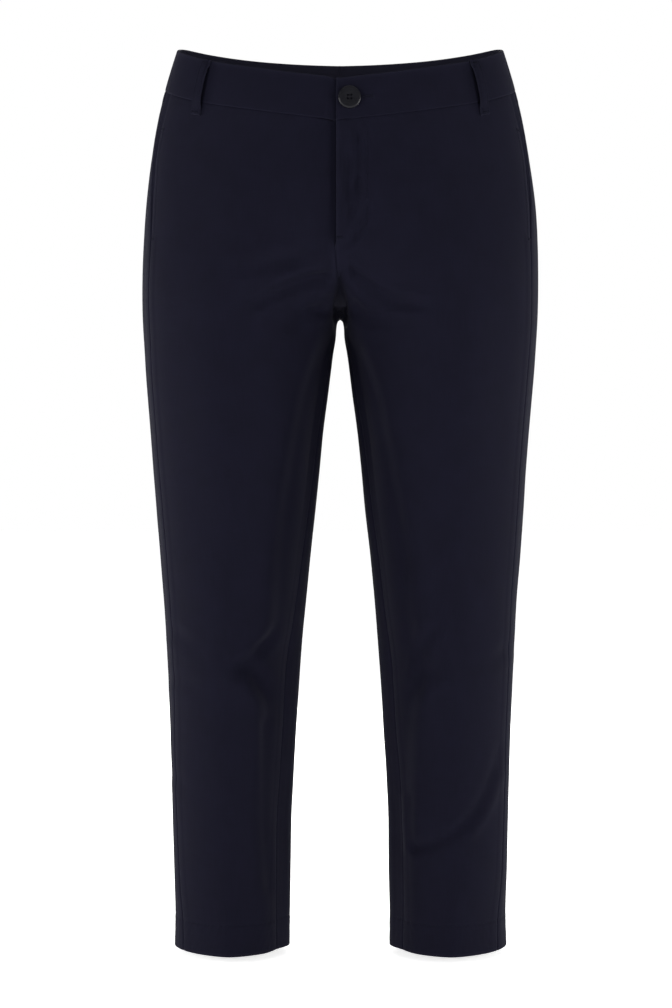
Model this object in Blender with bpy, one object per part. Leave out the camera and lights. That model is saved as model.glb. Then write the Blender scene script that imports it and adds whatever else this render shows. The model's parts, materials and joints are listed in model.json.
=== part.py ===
# Cropped trousers in cotton twill, filled out as if worn, with an open waist and two open legs.
#
# Sizes are in millimetres up to the point where a mesh is made, which is in metres.  +Z is up, the front
# faces -Y and the wearer's left is +X.  The origin is the middle of the waist opening, where a wearer
# holds the garment up.  Every sewn piece is a wall on one smooth surface: a loop at each height for each
# leg, and above the crotch the two loops run into one another and become the hips and the waist.

import math
from collections import namedtuple

import bmesh
import bpy
from mathutils import Matrix, Vector

MM = 0.001

# --- Cloth and seams ---
CLOTH = 1.5
SEAM_GAP = 0.3
HEM_WALL = 2.6
HEM_DEPTH = 32.0
BAND_HEIGHT = 41.0
BAND_PROUD = 0.6
BAND_WALL = 2.6

# --- Heights and the way the legs part ---
HEM_HEIGHT = -873.0
CROTCH_HEIGHT = -248.0
MERGE_RISE = 130.0
SPREAD_RISE = 170.0
NOTCH_ROUNDING = 4.0
LEAST_APART = 0.05
VALLEY_WIDTH = 26.0
VALLEY_RISE = 70.0
VALLEY_REACH = 0.7
FOLD_CLEAR = 6.0

# --- Fly, band ends and side pockets ---
FLY_LAP = 4.4
FLY_LAP_END = -243.0
FLY_LAP_FADE = 45.0
FLY_WIDTH = 25.3
FLY_STRAIGHT_END = -163.0
FLY_CURVE_DROP = 19.6
BAND_LAP_X = -4.0
UNDERLAP = 32.0
UNDERLAP_RAMP = 10.0
FACING_REACH = 36.0
FACING_TUCK = 8.0
FACING_END = -200.0
FACING_LIFT = -2.3
FACING_WALL = 1.1
ZIP_DROP = 8.0
ZIP_END = -174.0
SHIELD_END = -192.0
SHIELD_SLANT = 0.25
SLIDER_X = 1.0
SLIDER_WIDTH = 7.2
SLIDER_DROP = 4.0

# --- Belt loops and button ---
LOOP_WIDTH = 10.0
LOOP_TURNS = {"front_left": 49.0, "back_left": 131.0, "centre_back": 180.0, "back_right": -131.0,
              "front_right": -49.0}
BUTTON_X = 8.6
BUTTON_DROP = 19.6
BUTTON_SEAT = 0.4
BUTTON_HOLES = 4
BUTTON_HOLE_RADIUS = 0.9
BUTTON_HOLE_CIRCLE = 2.5
BUTTON_HOLE_DEPTH = 6.0

# --- Divisions of the walls ---
FRONT_COLUMNS = 10
BACK_COLUMNS = 12
RISE_ROWS = 9
LEG_FIRST_STEP = 5.0
LEG_STEP = 32.0
LEG_STEP_GROWTH = 1.45
ARC_SAMPLES = 40
BEND_RADIUS = 90.0
BAND_COLUMNS = 24
BAND_ROWS = 2
FACING_COLUMNS = 6
STRIP_ROWS = 8
LOOP_COLUMNS = 3
BUTTON_SIDES = 28
HOLE_SIDES = 10
FIRST_GUESS = -50.0
GUESSES = 5

# A loop at each height: how far its outer side is from the middle, the half gap between the legs, its
# reach to the front and to the back, its squareness (2 is an ellipse), and how far in from the outline
# the side seam, the pocket mouth and the inseam run, all seen from the front
Section = namedtuple("Section", "height outer gap front back power side_seam mouth inseam")
SECTIONS = (
    Section(45, 153.4, 3.4, 99, 111, 2.10, 4.0, 12.0, 0.0),
    Section(21, 161.3, 3.4, 101, 113, 2.10, 4.0, 12.0, 0.0),
    Section(-1, 168.0, 3.4, 103, 116, 2.10, 4.0, 12.0, 0.0),
    Section(-21, 174.0, 3.4, 105, 119, 2.10, 4.2, 12.0, 0.0),
    Section(-49, 181.0, 3.4, 108, 124, 2.12, 5.0, 11.6, 0.0),
    Section(-89, 188.1, 3.4, 111, 130, 2.14, 6.8, 10.8, 0.0),
    Section(-129, 193.2, 3.4, 113, 134, 2.15, 8.8, 10.6, 0.0),
    Section(-169, 196.3, 3.4, 112, 134, 2.15, 10.6, 10.8, 0.0),
    Section(-209, 197.7, 3.4, 110, 128, 2.14, 10.6, 10.6, 0.0),
    Section(-249, 197.4, 3.5, 107, 118, 2.12, 10.4, 10.4, 0.0),
    Section(-289, 194.8, 7.6, 104, 108, 2.08, 10.0, 10.0, 0.4),
    Section(-329, 191.6, 12.1, 101, 100, 2.04, 9.6, 9.6, 0.8),
    Section(-409, 185.2, 21.4, 94, 90, 2.00, 9.2, 9.2, 1.6),
    Section(-489, 179.4, 30.5, 87, 82, 1.98, 9.0, 9.0, 2.6),
    Section(-569, 173.9, 37.8, 80, 75, 1.96, 8.4, 8.4, 3.8),
    Section(-649, 170.1, 43.0, 73, 70, 1.93, 7.6, 7.6, 5.2),
    Section(-729, 167.4, 46.7, 67, 67, 1.89, 7.0, 7.0, 7.6),
    Section(-809, 165.7, 49.3, 63, 65, 1.82, 8.2, 8.2, 9.6),
    Section(-849, 165.0, 50.3, 61, 64, 1.73, 10.6, 10.6, 10.0),
    Section(-873, 165.4, 50.4, 61, 64, 1.64, 11.4, 11.4, 10.0),
)

# Top edge of the waistband, by the turn from the centre front (0) over the side (90) to the back (180)
WaistPoint = namedtuple("WaistPoint", "turn height")
WAIST_LINE = (
    WaistPoint(0, -29.2),
    WaistPoint(20, -20.5),
    WaistPoint(45, -6.5),
    WaistPoint(70, 10.5),
    WaistPoint(90, 21.5),
    WaistPoint(105, 27.4),
    WaistPoint(125, 30.1),
    WaistPoint(150, 30.4),
    WaistPoint(180, 29.4),
)

# The broadest folds: a line from start to end as seen from the front or the back, its half width, and its
# depth, which is below zero for a trough and above it for a ridge
Fold = namedtuple("Fold", "name face start_x start_z end_x end_z width depth")
FOLDS = (
    Fold("crotch_right_upper", "front", -14, -226, -72, -243, 10, -2.6),
    Fold("crotch_left_upper", "front", 6, -217, 72, -243, 11, -2.6),
    Fold("knee_right_upper", "front", -96, -590, -64, -563, 11, -3.0),
    Fold("knee_right_lower", "front", -94, -594, -67, -632, 12, -2.6),
    Fold("knee_left", "front", 84, -560, 70, -608, 12, -2.6),
    Fold("calf_left_low", "front", 76, -764, 121, -737, 12, -3.0),
    Fold("calf_left_high", "front", 121, -737, 138, -697, 11, -2.4),
    Fold("calf_left_ridge", "front", 130, -742, 152, -690, 10, 2.2),
    Fold("seat_right", "back", -34, -262, -118, -276, 13, -3.0),
    Fold("seat_left", "back", 34, -260, 124, -272, 13, -3.0),
    Fold("knee_back_right", "back", -76, -556, -134, -578, 13, -3.2),
    Fold("knee_back_right_low", "back", -80, -612, -130, -598, 12, -2.4),
    Fold("knee_back_left", "back", 78, -566, 138, -552, 13, -3.2),
    Fold("knee_back_left_low", "back", 82, -602, 126, -622, 12, -2.4),
)

# Section of a belt loop from its top down: distance down the band, lift of its inner and outer face
LoopStation = namedtuple("LoopStation", "down inner outer")
LOOP_SECTION = (
    LoopStation(0.4, 0.9, 3.4),
    LoopStation(5.5, 0.9, 3.9),
    LoopStation(9.0, 2.6, 4.5),
    LoopStation(15.0, 3.7, 5.3),
    LoopStation(25.0, 4.1, 5.7),
    LoopStation(36.0, 3.7, 5.3),
    LoopStation(43.0, 2.4, 4.3),
    LoopStation(47.5, 0.5, 3.3),
    LoopStation(54.0, 0.4, 2.9),
)

# Sections across the fly, from the wearer's right to left: the lift of the outer and of the inner face
StripStation = namedtuple("StripStation", "x outer inner")
ZIP_STATIONS = (
    StripStation(-11.0, -2.3, -3.1),
    StripStation(-4.5, -5.1, -5.9),
    StripStation(-1.6, -5.1, -5.9),
    StripStation(-1.0, -5.0, -6.0),
    StripStation(3.0, -5.0, -6.0),
    StripStation(3.6, -5.1, -5.9),
    StripStation(7.5, -5.1, -5.9),
    StripStation(15.0, -3.8, -4.6),
)
SHIELD_STATIONS = (
    StripStation(-25.0, -2.3, -3.4),
    StripStation(-19.0, -3.6, -4.7),
    StripStation(-12.0, -6.8, -7.9),
    StripStation(-5.0, -7.7, -8.8),
    StripStation(5.0, -7.7, -8.8),
    StripStation(15.0, -7.4, -8.5),
    StripStation(24.0, -5.8, -6.9),
    StripStation(31.0, -5.0, -6.1),
)

# The slider from the side: two plates joined over the top of the chain, and the tab hanging in front
SliderPoint = namedtuple("SliderPoint", "lift down")
SLIDER_OUTLINE = (
    SliderPoint(-3.75, 0.0),
    SliderPoint(-3.75, 30.0),
    SliderPoint(-4.6, 30.0),
    SliderPoint(-4.6, 3.4),
    SliderPoint(-6.4, 3.4),
    SliderPoint(-6.4, 13.0),
    SliderPoint(-7.3, 13.0),
    SliderPoint(-7.3, 0.0),
)

# The button's turned section, from the middle of its flat back round its rim to the middle of its dish
RimPoint = namedtuple("RimPoint", "radius height")
BUTTON_SECTION = (
    RimPoint(0.0, 0.0),
    RimPoint(9.4, 0.0),
    RimPoint(10.4, 0.8),
    RimPoint(10.4, 2.3),
    RimPoint(9.7, 3.1),
    RimPoint(8.8, 3.1),
    RimPoint(7.4, 2.1),
    RimPoint(6.4, 1.7),
    RimPoint(0.0, 1.6),
)

TWILL = ("navy_twill", (0.0105, 0.0105, 0.0200), 0.82, 0.0)
TAPE = ("zip_tape", (0.0100, 0.0100, 0.0160), 0.75, 0.0)
BRASS = ("zip_metal", (0.16, 0.15, 0.14), 0.35, 1.0)
HORN = ("dark_button", (0.012, 0.012, 0.014), 0.35, 0.0)


def cubic_through(positions, values):
    """A function that runs smoothly through the given values, with a slope at each from its neighbours."""
    pairs = sorted(zip(positions, values))
    at = [pair[0] for pair in pairs]
    value = [pair[1] for pair in pairs]
    last = len(at) - 1
    slope = []
    for i in range(last + 1):
        before, after = max(i - 1, 0), min(i + 1, last)
        slope.append((value[after] - value[before]) / (at[after] - at[before]))

    def evaluate(x):
        x = min(max(x, at[0]), at[last])
        i = 0
        while i < last - 1 and x > at[i + 1]:
            i += 1
        span = at[i + 1] - at[i]
        t = (x - at[i]) / span
        return ((2 * t**3 - 3 * t**2 + 1) * value[i] + (t**3 - 2 * t**2 + t) * span * slope[i]
                + (3 * t**2 - 2 * t**3) * value[i + 1] + (t**3 - t**2) * span * slope[i + 1])

    return evaluate


def ease(t):
    """Rises smoothly from 0 to 1 as t goes from 0 to 1."""
    t = min(max(t, 0.0), 1.0)
    return t * t * (3 - 2 * t)


SHAPE = {column: cubic_through([row.height for row in SECTIONS], [getattr(row, column) for row in SECTIONS])
         for column in Section._fields if column != "height"}
waist_line = cubic_through([point.turn for point in WAIST_LINE], [point.height for point in WAIST_LINE])

Loop = namedtuple("Loop", "middle outward inward front back power valley")


def loop_at(height):
    """The loop of one half at a height: its middle, its widths outward and inward, and its reach."""
    outer = SHAPE["outer"](height)
    above = height - CROTCH_HEIGHT
    if above >= 0:
        apart = max(0.0, 1 - above / MERGE_RISE) ** 1.5
        middle = outer / 2 * (1 - ease(above / SPREAD_RISE))
        outward = outer - middle
        inward = max((middle - SEAM_GAP / 2) / max(apart, LEAST_APART), outward * (1 - apart))
    else:
        gap = SHAPE["gap"](height) * (1 - math.exp(above / NOTCH_ROUNDING))
        gap = max(gap, SEAM_GAP / 2)
        middle = (outer + gap) / 2
        outward = inward = (outer - gap) / 2
    valley = VALLEY_WIDTH * ease(above / VALLEY_RISE)
    reach = [SHAPE[name](height) for name in ("front", "back", "power")]
    return Loop(middle, outward, inward, *reach, valley)


def valley_fill(loop, reach, x):
    """What rounds the valley between the two halves at the centre line."""
    if loop.valley == 0:
        return 0.0
    n = loop.power
    cut = loop.middle / loop.inward
    steep = reach / loop.inward * cut ** (n - 1) / max(1 - cut**n, 0.02) ** ((n - 1) / n)
    fade = max(0.0, 1 - max(x, 0.0) / (VALLEY_REACH * (loop.middle + loop.outward))) ** 2
    return steep * (math.hypot(x, loop.valley) - x) * fade


def plain_point(angle, height):
    """A point of the left half's surface: angle 0 is its outer side, a quarter turn is its front."""
    loop = loop_at(height)
    across, along = math.cos(angle), math.sin(angle)
    n = loop.power
    size = (abs(across) ** n + abs(along) ** n) ** (-1 / n)
    x = loop.middle + (loop.outward if across > 0 else loop.inward) * size * across
    reach = loop.front if along > 0 else loop.back
    y = -reach * size * along - math.copysign(valley_fill(loop, reach, x), along)
    return Vector((x, y, height))


def angle_of_x(x, height, back=False):
    """The angle at which the loop crosses x, at the front or at the back."""
    loop = loop_at(height)
    half = loop.outward if x > loop.middle else loop.inward
    share = min(max((x - loop.middle) / half, -1.0), 1.0)
    rest = max(0.0, 1 - abs(share) ** loop.power) ** (1 / loop.power)
    angle = math.atan2(rest, share)
    return -angle if back else angle


def angle_at_x(x, height):
    """The front's angle at x, which runs on past the centre line where x is below zero."""
    if x >= 0:
        return angle_of_x(x, height)
    return 2 * angle_of_x(0.0, height) - angle_of_x(-x, height)


def fold_lift(point):
    """How far the broad folds move a point of the surface out or in; none crosses the centre seam."""
    total = 0.0
    clear = ease((abs(point.x) - FOLD_CLEAR) / FOLD_CLEAR)
    for fold in FOLDS:
        if (fold.face == "front") != (point.y < 0):
            continue
        dx, dz = fold.end_x - fold.start_x, fold.end_z - fold.start_z
        length = math.hypot(dx, dz)
        along = ((point.x - fold.start_x) * dx + (point.z - fold.start_z) * dz) / length
        aside = ((point.x - fold.start_x) * dz - (point.z - fold.start_z) * dx) / length
        over = max(0.0, -along, along - length) / (1.3 * fold.width)
        total += fold.depth * math.exp(-((aside / fold.width) ** 2) - over**2)
    return total * clear


def own_half(angle, height):
    """The angle on its own half, with -1 in place of 1 where it had run on past the centre front."""
    centre = angle_of_x(0.0, height)
    if height > CROTCH_HEIGHT and angle > centre:
        return 2 * centre - angle, -1
    return angle, 1


def surface(side, angle, height, lift=0.0):
    """A point of one half (side is 1 on the wearer's left), moved out of the surface by lift."""
    angle, flip = own_half(angle, height)
    flip *= side
    turn_step, height_step = 0.002, 0.5
    point = plain_point(angle, height)
    across = plain_point(angle + turn_step, height) - plain_point(angle - turn_step, height)
    up = plain_point(angle, height + height_step) - plain_point(angle, height - height_step)
    outward = up.cross(across).normalized()
    point.x *= flip
    outward.x *= flip
    return point + outward * (lift + fold_lift(point))


def arc_speed(angle, height):
    """Millimetres of cloth for each radian of angle."""
    return (plain_point(angle + 0.01, height) - plain_point(angle - 0.01, height)).length / 0.02


def seam_step(angle, height):
    """The angle of half a seam's gap."""
    return SEAM_GAP / 2 / arc_speed(angle, height)


def inset_angle(inset, height):
    """The front's angle that lies a distance in from the outer side's outline."""
    loop = loop_at(height)
    return angle_of_x(loop.middle + loop.outward - inset, height)


def part_way(start, end, share, height):
    """The angle a share of the way along the cloth between two angles, in smaller steps at bends."""
    points = []
    for k in range(ARC_SAMPLES + 1):
        angle, flip = own_half(start + (end - start) * k / ARC_SAMPLES, height)
        points.append(plain_point(angle, height))
        points[-1].x *= flip
    steps = [point - before for before, point in zip(points, points[1:])]
    lengths = [0.0]
    for before, step in zip([steps[0]] + steps, steps):
        lengths.append(lengths[-1] + step.length + BEND_RADIUS * step.angle(before))
    wanted = share * lengths[-1]
    k = 1
    while k < ARC_SAMPLES and lengths[k] < wanted:
        k += 1
    within = (wanted - lengths[k - 1]) / (lengths[k] - lengths[k - 1])
    return start + (end - start) * (k - 1 + within) / ARC_SAMPLES


def side_seam_angle(height):
    return inset_angle(SHAPE["side_seam"](height), height)


def front_edge_angle(height):
    """The front's outer edge: the pocket mouth, and below it the side seam."""
    return inset_angle(SHAPE["mouth"](height), height)


def inseam_angle(height):
    loop = loop_at(height)
    return angle_of_x(loop.middle - loop.inward + max(SHAPE["inseam"](height), 0.0), height)


def fly_lap(height):
    """How far past the centre line the left front laps over the right one."""
    return FLY_LAP * ease((height - FLY_LAP_END) / FLY_LAP_FADE)


def front_inner_angle(side, height):
    """The front's inner edge: the fly's edge and the crotch seam, then the inseam."""
    if height > CROTCH_HEIGHT:
        x = SEAM_GAP / 2 - side * fly_lap(height)
        return min(angle_at_x(x, height), math.pi - SEAM_GAP / 2 / SHAPE["front"](height))
    angle = inseam_angle(height)
    return angle - seam_step(angle, height)


def back_inner_angle(height):
    """The back's inner edge: the centre back and crotch seam, then the inseam."""
    if height > CROTCH_HEIGHT:
        angle = angle_of_x(SEAM_GAP / 2, height, back=True)
        return max(angle, -math.pi + SEAM_GAP / 2 / SHAPE["back"](height))
    angle = inseam_angle(height) - 2 * math.pi
    return angle + seam_step(angle, height)


def waist_height(angle):
    """Height of the waistband's top edge at an angle of the waist."""
    return waist_line(abs(90 - math.degrees(angle)))


def seam_height(angle):
    """Height of the panels' top edge, just under the waistband."""
    return waist_height(angle) - BAND_HEIGHT - SEAM_GAP


def meet(angle_at, height_at):
    """The angle and height that agree, where one rule gives the angle and one the height."""
    height = FIRST_GUESS
    for _ in range(GUESSES):
        angle = angle_at(height)
        height = height_at(angle)
    return angle, height


def down_from_seam(bottom, share, drop=0.0):
    """A rule for the height a share of the way from the band's seam down to a bottom."""
    def height_at(angle):
        top = seam_height(angle) - drop
        return top + (bottom - top) * share

    return height_at


def leg_heights():
    """Rows from the crotch to the hem: close at the crotch, and one pair where the hem's fold ends."""
    steps = [LEG_FIRST_STEP]
    while sum(steps) < CROTCH_HEIGHT - HEM_HEIGHT - HEM_DEPTH:
        steps.append(min(steps[-1] * LEG_STEP_GROWTH, LEG_STEP))
    stretch = (CROTCH_HEIGHT - HEM_HEIGHT - HEM_DEPTH) / sum(steps)
    heights = [CROTCH_HEIGHT - stretch * sum(steps[:i + 1]) for i in range(len(steps))]
    return heights + [HEM_HEIGHT + HEM_DEPTH - 3.0, HEM_HEIGHT + HEM_DEPTH / 2, HEM_HEIGHT]


def wall_at(height):
    """The cloth's thickness: two plies in the hem, one above it."""
    if height < HEM_HEIGHT + HEM_DEPTH - 1:
        return HEM_WALL
    return CLOTH


def finish_of(finish):
    """The material of a finish: name, colour, roughness and metallic value."""
    name, colour, roughness, metallic = finish
    material = bpy.data.materials.get(name)
    if material is None:
        material = bpy.data.materials.new(name)
        material.use_nodes = True
        shader = material.node_tree.nodes["Principled BSDF"]
        shader.inputs["Base Color"].default_value = (*colour, 1.0)
        shader.inputs["Roughness"].default_value = roughness
        shader.inputs["Metallic"].default_value = metallic
    return material


def link_mesh(name, shape, finish, parent):
    """Put a bmesh into the scene as a named object with its material."""
    bmesh.ops.recalc_face_normals(shape, faces=shape.faces)
    mesh = bpy.data.meshes.new(name)
    shape.to_mesh(mesh)
    shape.free()
    mesh.materials.append(finish_of(finish))
    thing = bpy.data.objects.new(name, mesh)
    thing.parent = parent
    bpy.context.scene.collection.objects.link(thing)
    return thing


def cloth_wall(name, outer, inner, finish, parent):
    """A closed wall between two grids of points, each a list of rows."""
    shape = bmesh.new()
    grids = [[[shape.verts.new(point * MM) for point in row] for row in grid] for grid in (outer, inner)]
    rows, columns = len(outer), len(outer[0])
    for grid in grids:
        for i in range(rows - 1):
            for j in range(columns - 1):
                a, b, c, d = grid[i][j], grid[i][j + 1], grid[i + 1][j + 1], grid[i + 1][j]
                shape.faces.new((a, b, c))
                shape.faces.new((a, c, d))
    rim = [(0, j) for j in range(columns)] + [(i, columns - 1) for i in range(1, rows)]
    rim += [(rows - 1, j) for j in range(columns - 2, -1, -1)] + [(i, 0) for i in range(rows - 2, 0, -1)]
    for k, (i, j) in enumerate(rim):
        m, n = rim[(k + 1) % len(rim)]
        shape.faces.new((grids[0][i][j], grids[0][m][n], grids[1][m][n], grids[1][i][j]))
    return link_mesh(name, shape, finish, parent)


def panel_grid(inner_edge, outer_edge, columns):
    """Rows of (angle, height) over a front or a back, from its waist seam to its hem."""
    def angle_at(share, height):
        return part_way(inner_edge(height), outer_edge(height), share, height)

    shares = [j / columns for j in range(columns + 1)]
    tops = [meet(lambda height: angle_at(share, height), seam_height)[1] for share in shares]
    grid = []
    for i in range(RISE_ROWS + 1):
        row = []
        for share, top in zip(shares, tops):
            closeness = (1 - share) ** 1.5
            down = i / RISE_ROWS
            drop = closeness * math.sin(math.pi / 2 * down) + (1 - closeness) * down
            height = top + (CROTCH_HEIGHT - top) * drop
            row.append((angle_at(share, height), height))
        grid.append(row)
    for height in leg_heights():
        grid.append([(angle_at(share, height), height) for share in shares])
    return grid


def make_panel(name, side, grid, parent):
    outer = [[surface(side, a, h) for a, h in row] for row in grid]
    inner = [[surface(side, a, h, -wall_at(h)) for a, h in row] for row in grid]
    cloth_wall(name, outer, inner, TWILL, parent)


def make_fronts(parent):
    for side, name in ((-1, "front_right"), (1, "front_left")):
        def inner_edge(height):
            return front_inner_angle(side, height)

        def outer_edge(height):
            angle = front_edge_angle(height)
            return angle + seam_step(angle, height)

        make_panel(name, side, panel_grid(inner_edge, outer_edge, FRONT_COLUMNS), parent)


def make_backs(parent):
    def outer_edge(height):
        angle = side_seam_angle(height)
        return angle - seam_step(angle, height)

    grid = panel_grid(back_inner_angle, outer_edge, BACK_COLUMNS)
    for side, name in ((-1, "back_right"), (1, "back_left")):
        make_panel(name, side, grid, parent)


def facing_angle(share, height):
    """Across a pocket's facing, from under the back's edge to under the front."""
    start = side_seam_angle(height)
    start -= FACING_TUCK / arc_speed(start, height)
    end = front_edge_angle(height)
    end += FACING_REACH / arc_speed(end, height)
    return start + (end - start) * share


def make_pocket_facings(parent):
    """The piece that shows in each pocket's mouth, under the edges of the front and the back."""
    grid = []
    for i in range(STRIP_ROWS + 1):
        height_at = down_from_seam(FACING_END, i / STRIP_ROWS)
        shares = [j / FACING_COLUMNS for j in range(FACING_COLUMNS + 1)]
        grid.append([meet(lambda height: facing_angle(share, height), height_at) for share in shares])
    for side, name in ((-1, "pocket_facing_right"), (1, "pocket_facing_left")):
        outer = [[surface(side, a, h, FACING_LIFT) for a, h in row] for row in grid]
        inner = [[surface(side, a, h, FACING_LIFT - FACING_WALL) for a, h in row] for row in grid]
        cloth_wall(name, outer, inner, TWILL, parent)


def front_strip(name, stations, bottom, finish, parent, drop=0.0):
    """A piece behind the fly: a station for each x gives the lift of its outer and of its inner face."""
    outer, inner = [], []
    for i in range(STRIP_ROWS + 1):
        outer_row, inner_row = [], []
        for x, outer_lift, inner_lift in stations:
            height_at = down_from_seam(bottom(x), i / STRIP_ROWS, drop)
            angle, height = meet(lambda height: angle_at_x(x, height), height_at)
            outer_row.append(surface(1, angle, height, outer_lift))
            inner_row.append(surface(1, angle, height, inner_lift))
        outer.append(outer_row)
        inner.append(inner_row)
    cloth_wall(name, outer, inner, finish, parent)


def fly_bottom(x):
    """The curve that the fly's facing is cut to, down from its straight side to the fly's edge."""
    share = min(max((x + FLY_LAP) / (FLY_WIDTH + FLY_LAP), 0.0), 1.0)
    return FLY_STRAIGHT_END - FLY_CURVE_DROP * math.sqrt(1 - share**2)


def shield_bottom(x):
    return SHIELD_END + SHIELD_SLANT * (x - SHIELD_STATIONS[0].x)


def make_fly(parent):
    """Under the left front: its facing, the zip, and the shield that the right front carries."""
    facing_x = (-FLY_LAP + SEAM_GAP, 2.0, 9.0, 16.0, 21.0, 24.0, FLY_WIDTH)
    facing = [StripStation(x, FACING_LIFT, FACING_LIFT - FACING_WALL) for x in facing_x]
    front_strip("fly_facing", facing, fly_bottom, TWILL, parent)
    front_strip("zip", ZIP_STATIONS, lambda x: ZIP_END, TAPE, parent, ZIP_DROP)
    front_strip("fly_shield", SHIELD_STATIONS, shield_bottom, TWILL, parent)


def make_zip_slider(parent):
    """The closed zip's slider, its outline extruded from one side of the chain to the other."""
    top = seam_height(math.pi / 2) - SLIDER_DROP
    shape = bmesh.new()
    ends = []
    for x in (SLIDER_X - SLIDER_WIDTH / 2, SLIDER_X + SLIDER_WIDTH / 2):
        corners = []
        for point in SLIDER_OUTLINE:
            height = top - point.down
            at_front = plain_point(angle_of_x(0.0, height), height)
            corners.append(shape.verts.new(Vector((x, at_front.y - point.lift, height)) * MM))
        ends.append(corners)
    for k in range(len(SLIDER_OUTLINE)):
        m = (k + 1) % len(SLIDER_OUTLINE)
        shape.faces.new((ends[0][k], ends[0][m], ends[1][m], ends[1][k]))
    shape.faces.new(ends[0])
    shape.faces.new(ends[1])
    link_mesh("zip_slider", shape, BRASS, parent)


def make_band_half(side, name, front_x, lift_of, parent):
    """One half of the waistband: columns at each x of its front end, then evenly to the centre back."""
    last = -angle_of_x(SEAM_GAP / 2, 0.0)
    angles = [angle_at_x(x, -BAND_HEIGHT) for x in front_x]
    first = angles.pop()
    angles += [part_way(first, last, j / BAND_COLUMNS, -BAND_HEIGHT) for j in range(BAND_COLUMNS + 1)]
    outer, inner = [], []
    for i in range(BAND_ROWS + 1):
        places = [(angle, waist_height(angle) - BAND_HEIGHT * i / BAND_ROWS) for angle in angles]
        outer.append([surface(side, a, h, lift_of(a)) for a, h in places])
        inner.append([surface(side, a, h, lift_of(a) - BAND_WALL) for a, h in places])
    cloth_wall(name, outer, inner, TWILL, parent)


def right_band_lift(angle):
    """The right half sinks before the centre front, to run on under the left half's end."""
    front_half_width = SHAPE["outer"](-BAND_HEIGHT)
    x = front_half_width * math.cos(angle)
    sink = BAND_WALL + 2 * SEAM_GAP
    return BAND_PROUD - sink * ease((FLY_LAP + UNDERLAP_RAMP - x) / UNDERLAP_RAMP)


def make_waistband(parent):
    ramp = [FLY_LAP, FLY_LAP + UNDERLAP_RAMP / 2, FLY_LAP + UNDERLAP_RAMP]
    make_band_half(1, "waistband_left", [BAND_LAP_X], lambda angle: BAND_PROUD, parent)
    make_band_half(-1, "waistband_right", [-UNDERLAP, -20.0, -8.0] + ramp, right_band_lift, parent)


def half_and_angle(turn):
    """The half and its angle, for a turn in degrees from the centre front over the wearer's left side."""
    turn = (turn + 180.0) % 360.0 - 180.0
    side = 1 if turn >= 0 else -1
    return side, math.radians(90 - abs(turn))


def make_belt_loops(parent):
    for place, middle_turn in LOOP_TURNS.items():
        middle_angle = half_and_angle(middle_turn)[1]
        middle_height = waist_height(middle_angle) - BAND_HEIGHT / 2
        half_width = math.degrees(LOOP_WIDTH / 2 / arc_speed(middle_angle, middle_height))
        outer, inner = [], []
        for station in LOOP_SECTION:
            outer_row, inner_row = [], []
            for j in range(LOOP_COLUMNS + 1):
                side, angle = half_and_angle(middle_turn + half_width * (2 * j / LOOP_COLUMNS - 1))
                height = waist_height(angle) - station.down
                outer_row.append(surface(side, angle, height, station.outer))
                inner_row.append(surface(side, angle, height, station.inner))
            outer.append(outer_row)
            inner.append(inner_row)
        cloth_wall("belt_loop_" + place, outer, inner, TWILL, parent)


def make_button(parent):
    """The turned button on the left half's end, with holes through its dish."""
    shape = bmesh.new()
    profile = [shape.verts.new(Vector((point.radius, 0, point.height)) * MM) for point in BUTTON_SECTION]
    edges = [shape.edges.new((profile[k], profile[k + 1])) for k in range(len(profile) - 1)]
    bmesh.ops.spin(shape, geom=profile + edges, cent=(0, 0, 0), axis=(0, 0, 1), angle=2 * math.pi,
                   steps=BUTTON_SIDES, use_merge=True)
    bmesh.ops.remove_doubles(shape, verts=shape.verts, dist=1e-6)
    button = link_mesh("button", shape, HORN, parent)
    holes = bmesh.new()
    for k in range(BUTTON_HOLES):
        turn = (k + 0.5) * 2 * math.pi / BUTTON_HOLES
        at = Vector((math.cos(turn), math.sin(turn), 0)) * BUTTON_HOLE_CIRCLE
        bmesh.ops.create_cone(holes, cap_ends=True, segments=HOLE_SIDES, radius1=BUTTON_HOLE_RADIUS * MM,
                              radius2=BUTTON_HOLE_RADIUS * MM, depth=BUTTON_HOLE_DEPTH * MM,
                              matrix=Matrix.Translation(at * MM))
    cutter = link_mesh("button_hole_cutter", holes, HORN, parent)
    cutter.hide_render = True
    cutter.display_type = "WIRE"
    height = waist_height(math.pi / 2) - BUTTON_DROP
    angle = angle_of_x(BUTTON_X, height)
    seat = surface(1, angle, height, BAND_PROUD + BUTTON_SEAT)
    outward = surface(1, angle, height, 1.0) - surface(1, angle, height)
    for thing in (button, cutter):
        thing.location = seat * MM
        thing.rotation_mode = "QUATERNION"
        thing.rotation_quaternion = outward.to_track_quat("Z", "Y")
    cut = button.modifiers.new("holes", "BOOLEAN")
    cut.object = cutter
    cut.operation = "DIFFERENCE"
    cut.solver = "EXACT"


def main():
    for thing in list(bpy.data.objects):
        bpy.data.objects.remove(thing, do_unlink=True)
    garment = bpy.data.objects.new("capri_pants", None)
    bpy.context.scene.collection.objects.link(garment)
    make_fronts(garment)
    make_backs(garment)
    make_pocket_facings(garment)
    make_fly(garment)
    make_zip_slider(garment)
    make_waistband(garment)
    make_belt_loops(garment)
    make_button(garment)


main()
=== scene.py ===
import json
import math

import bpy
import numpy as np
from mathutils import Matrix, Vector
from mathutils.bvhtree import BVHTree

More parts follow.
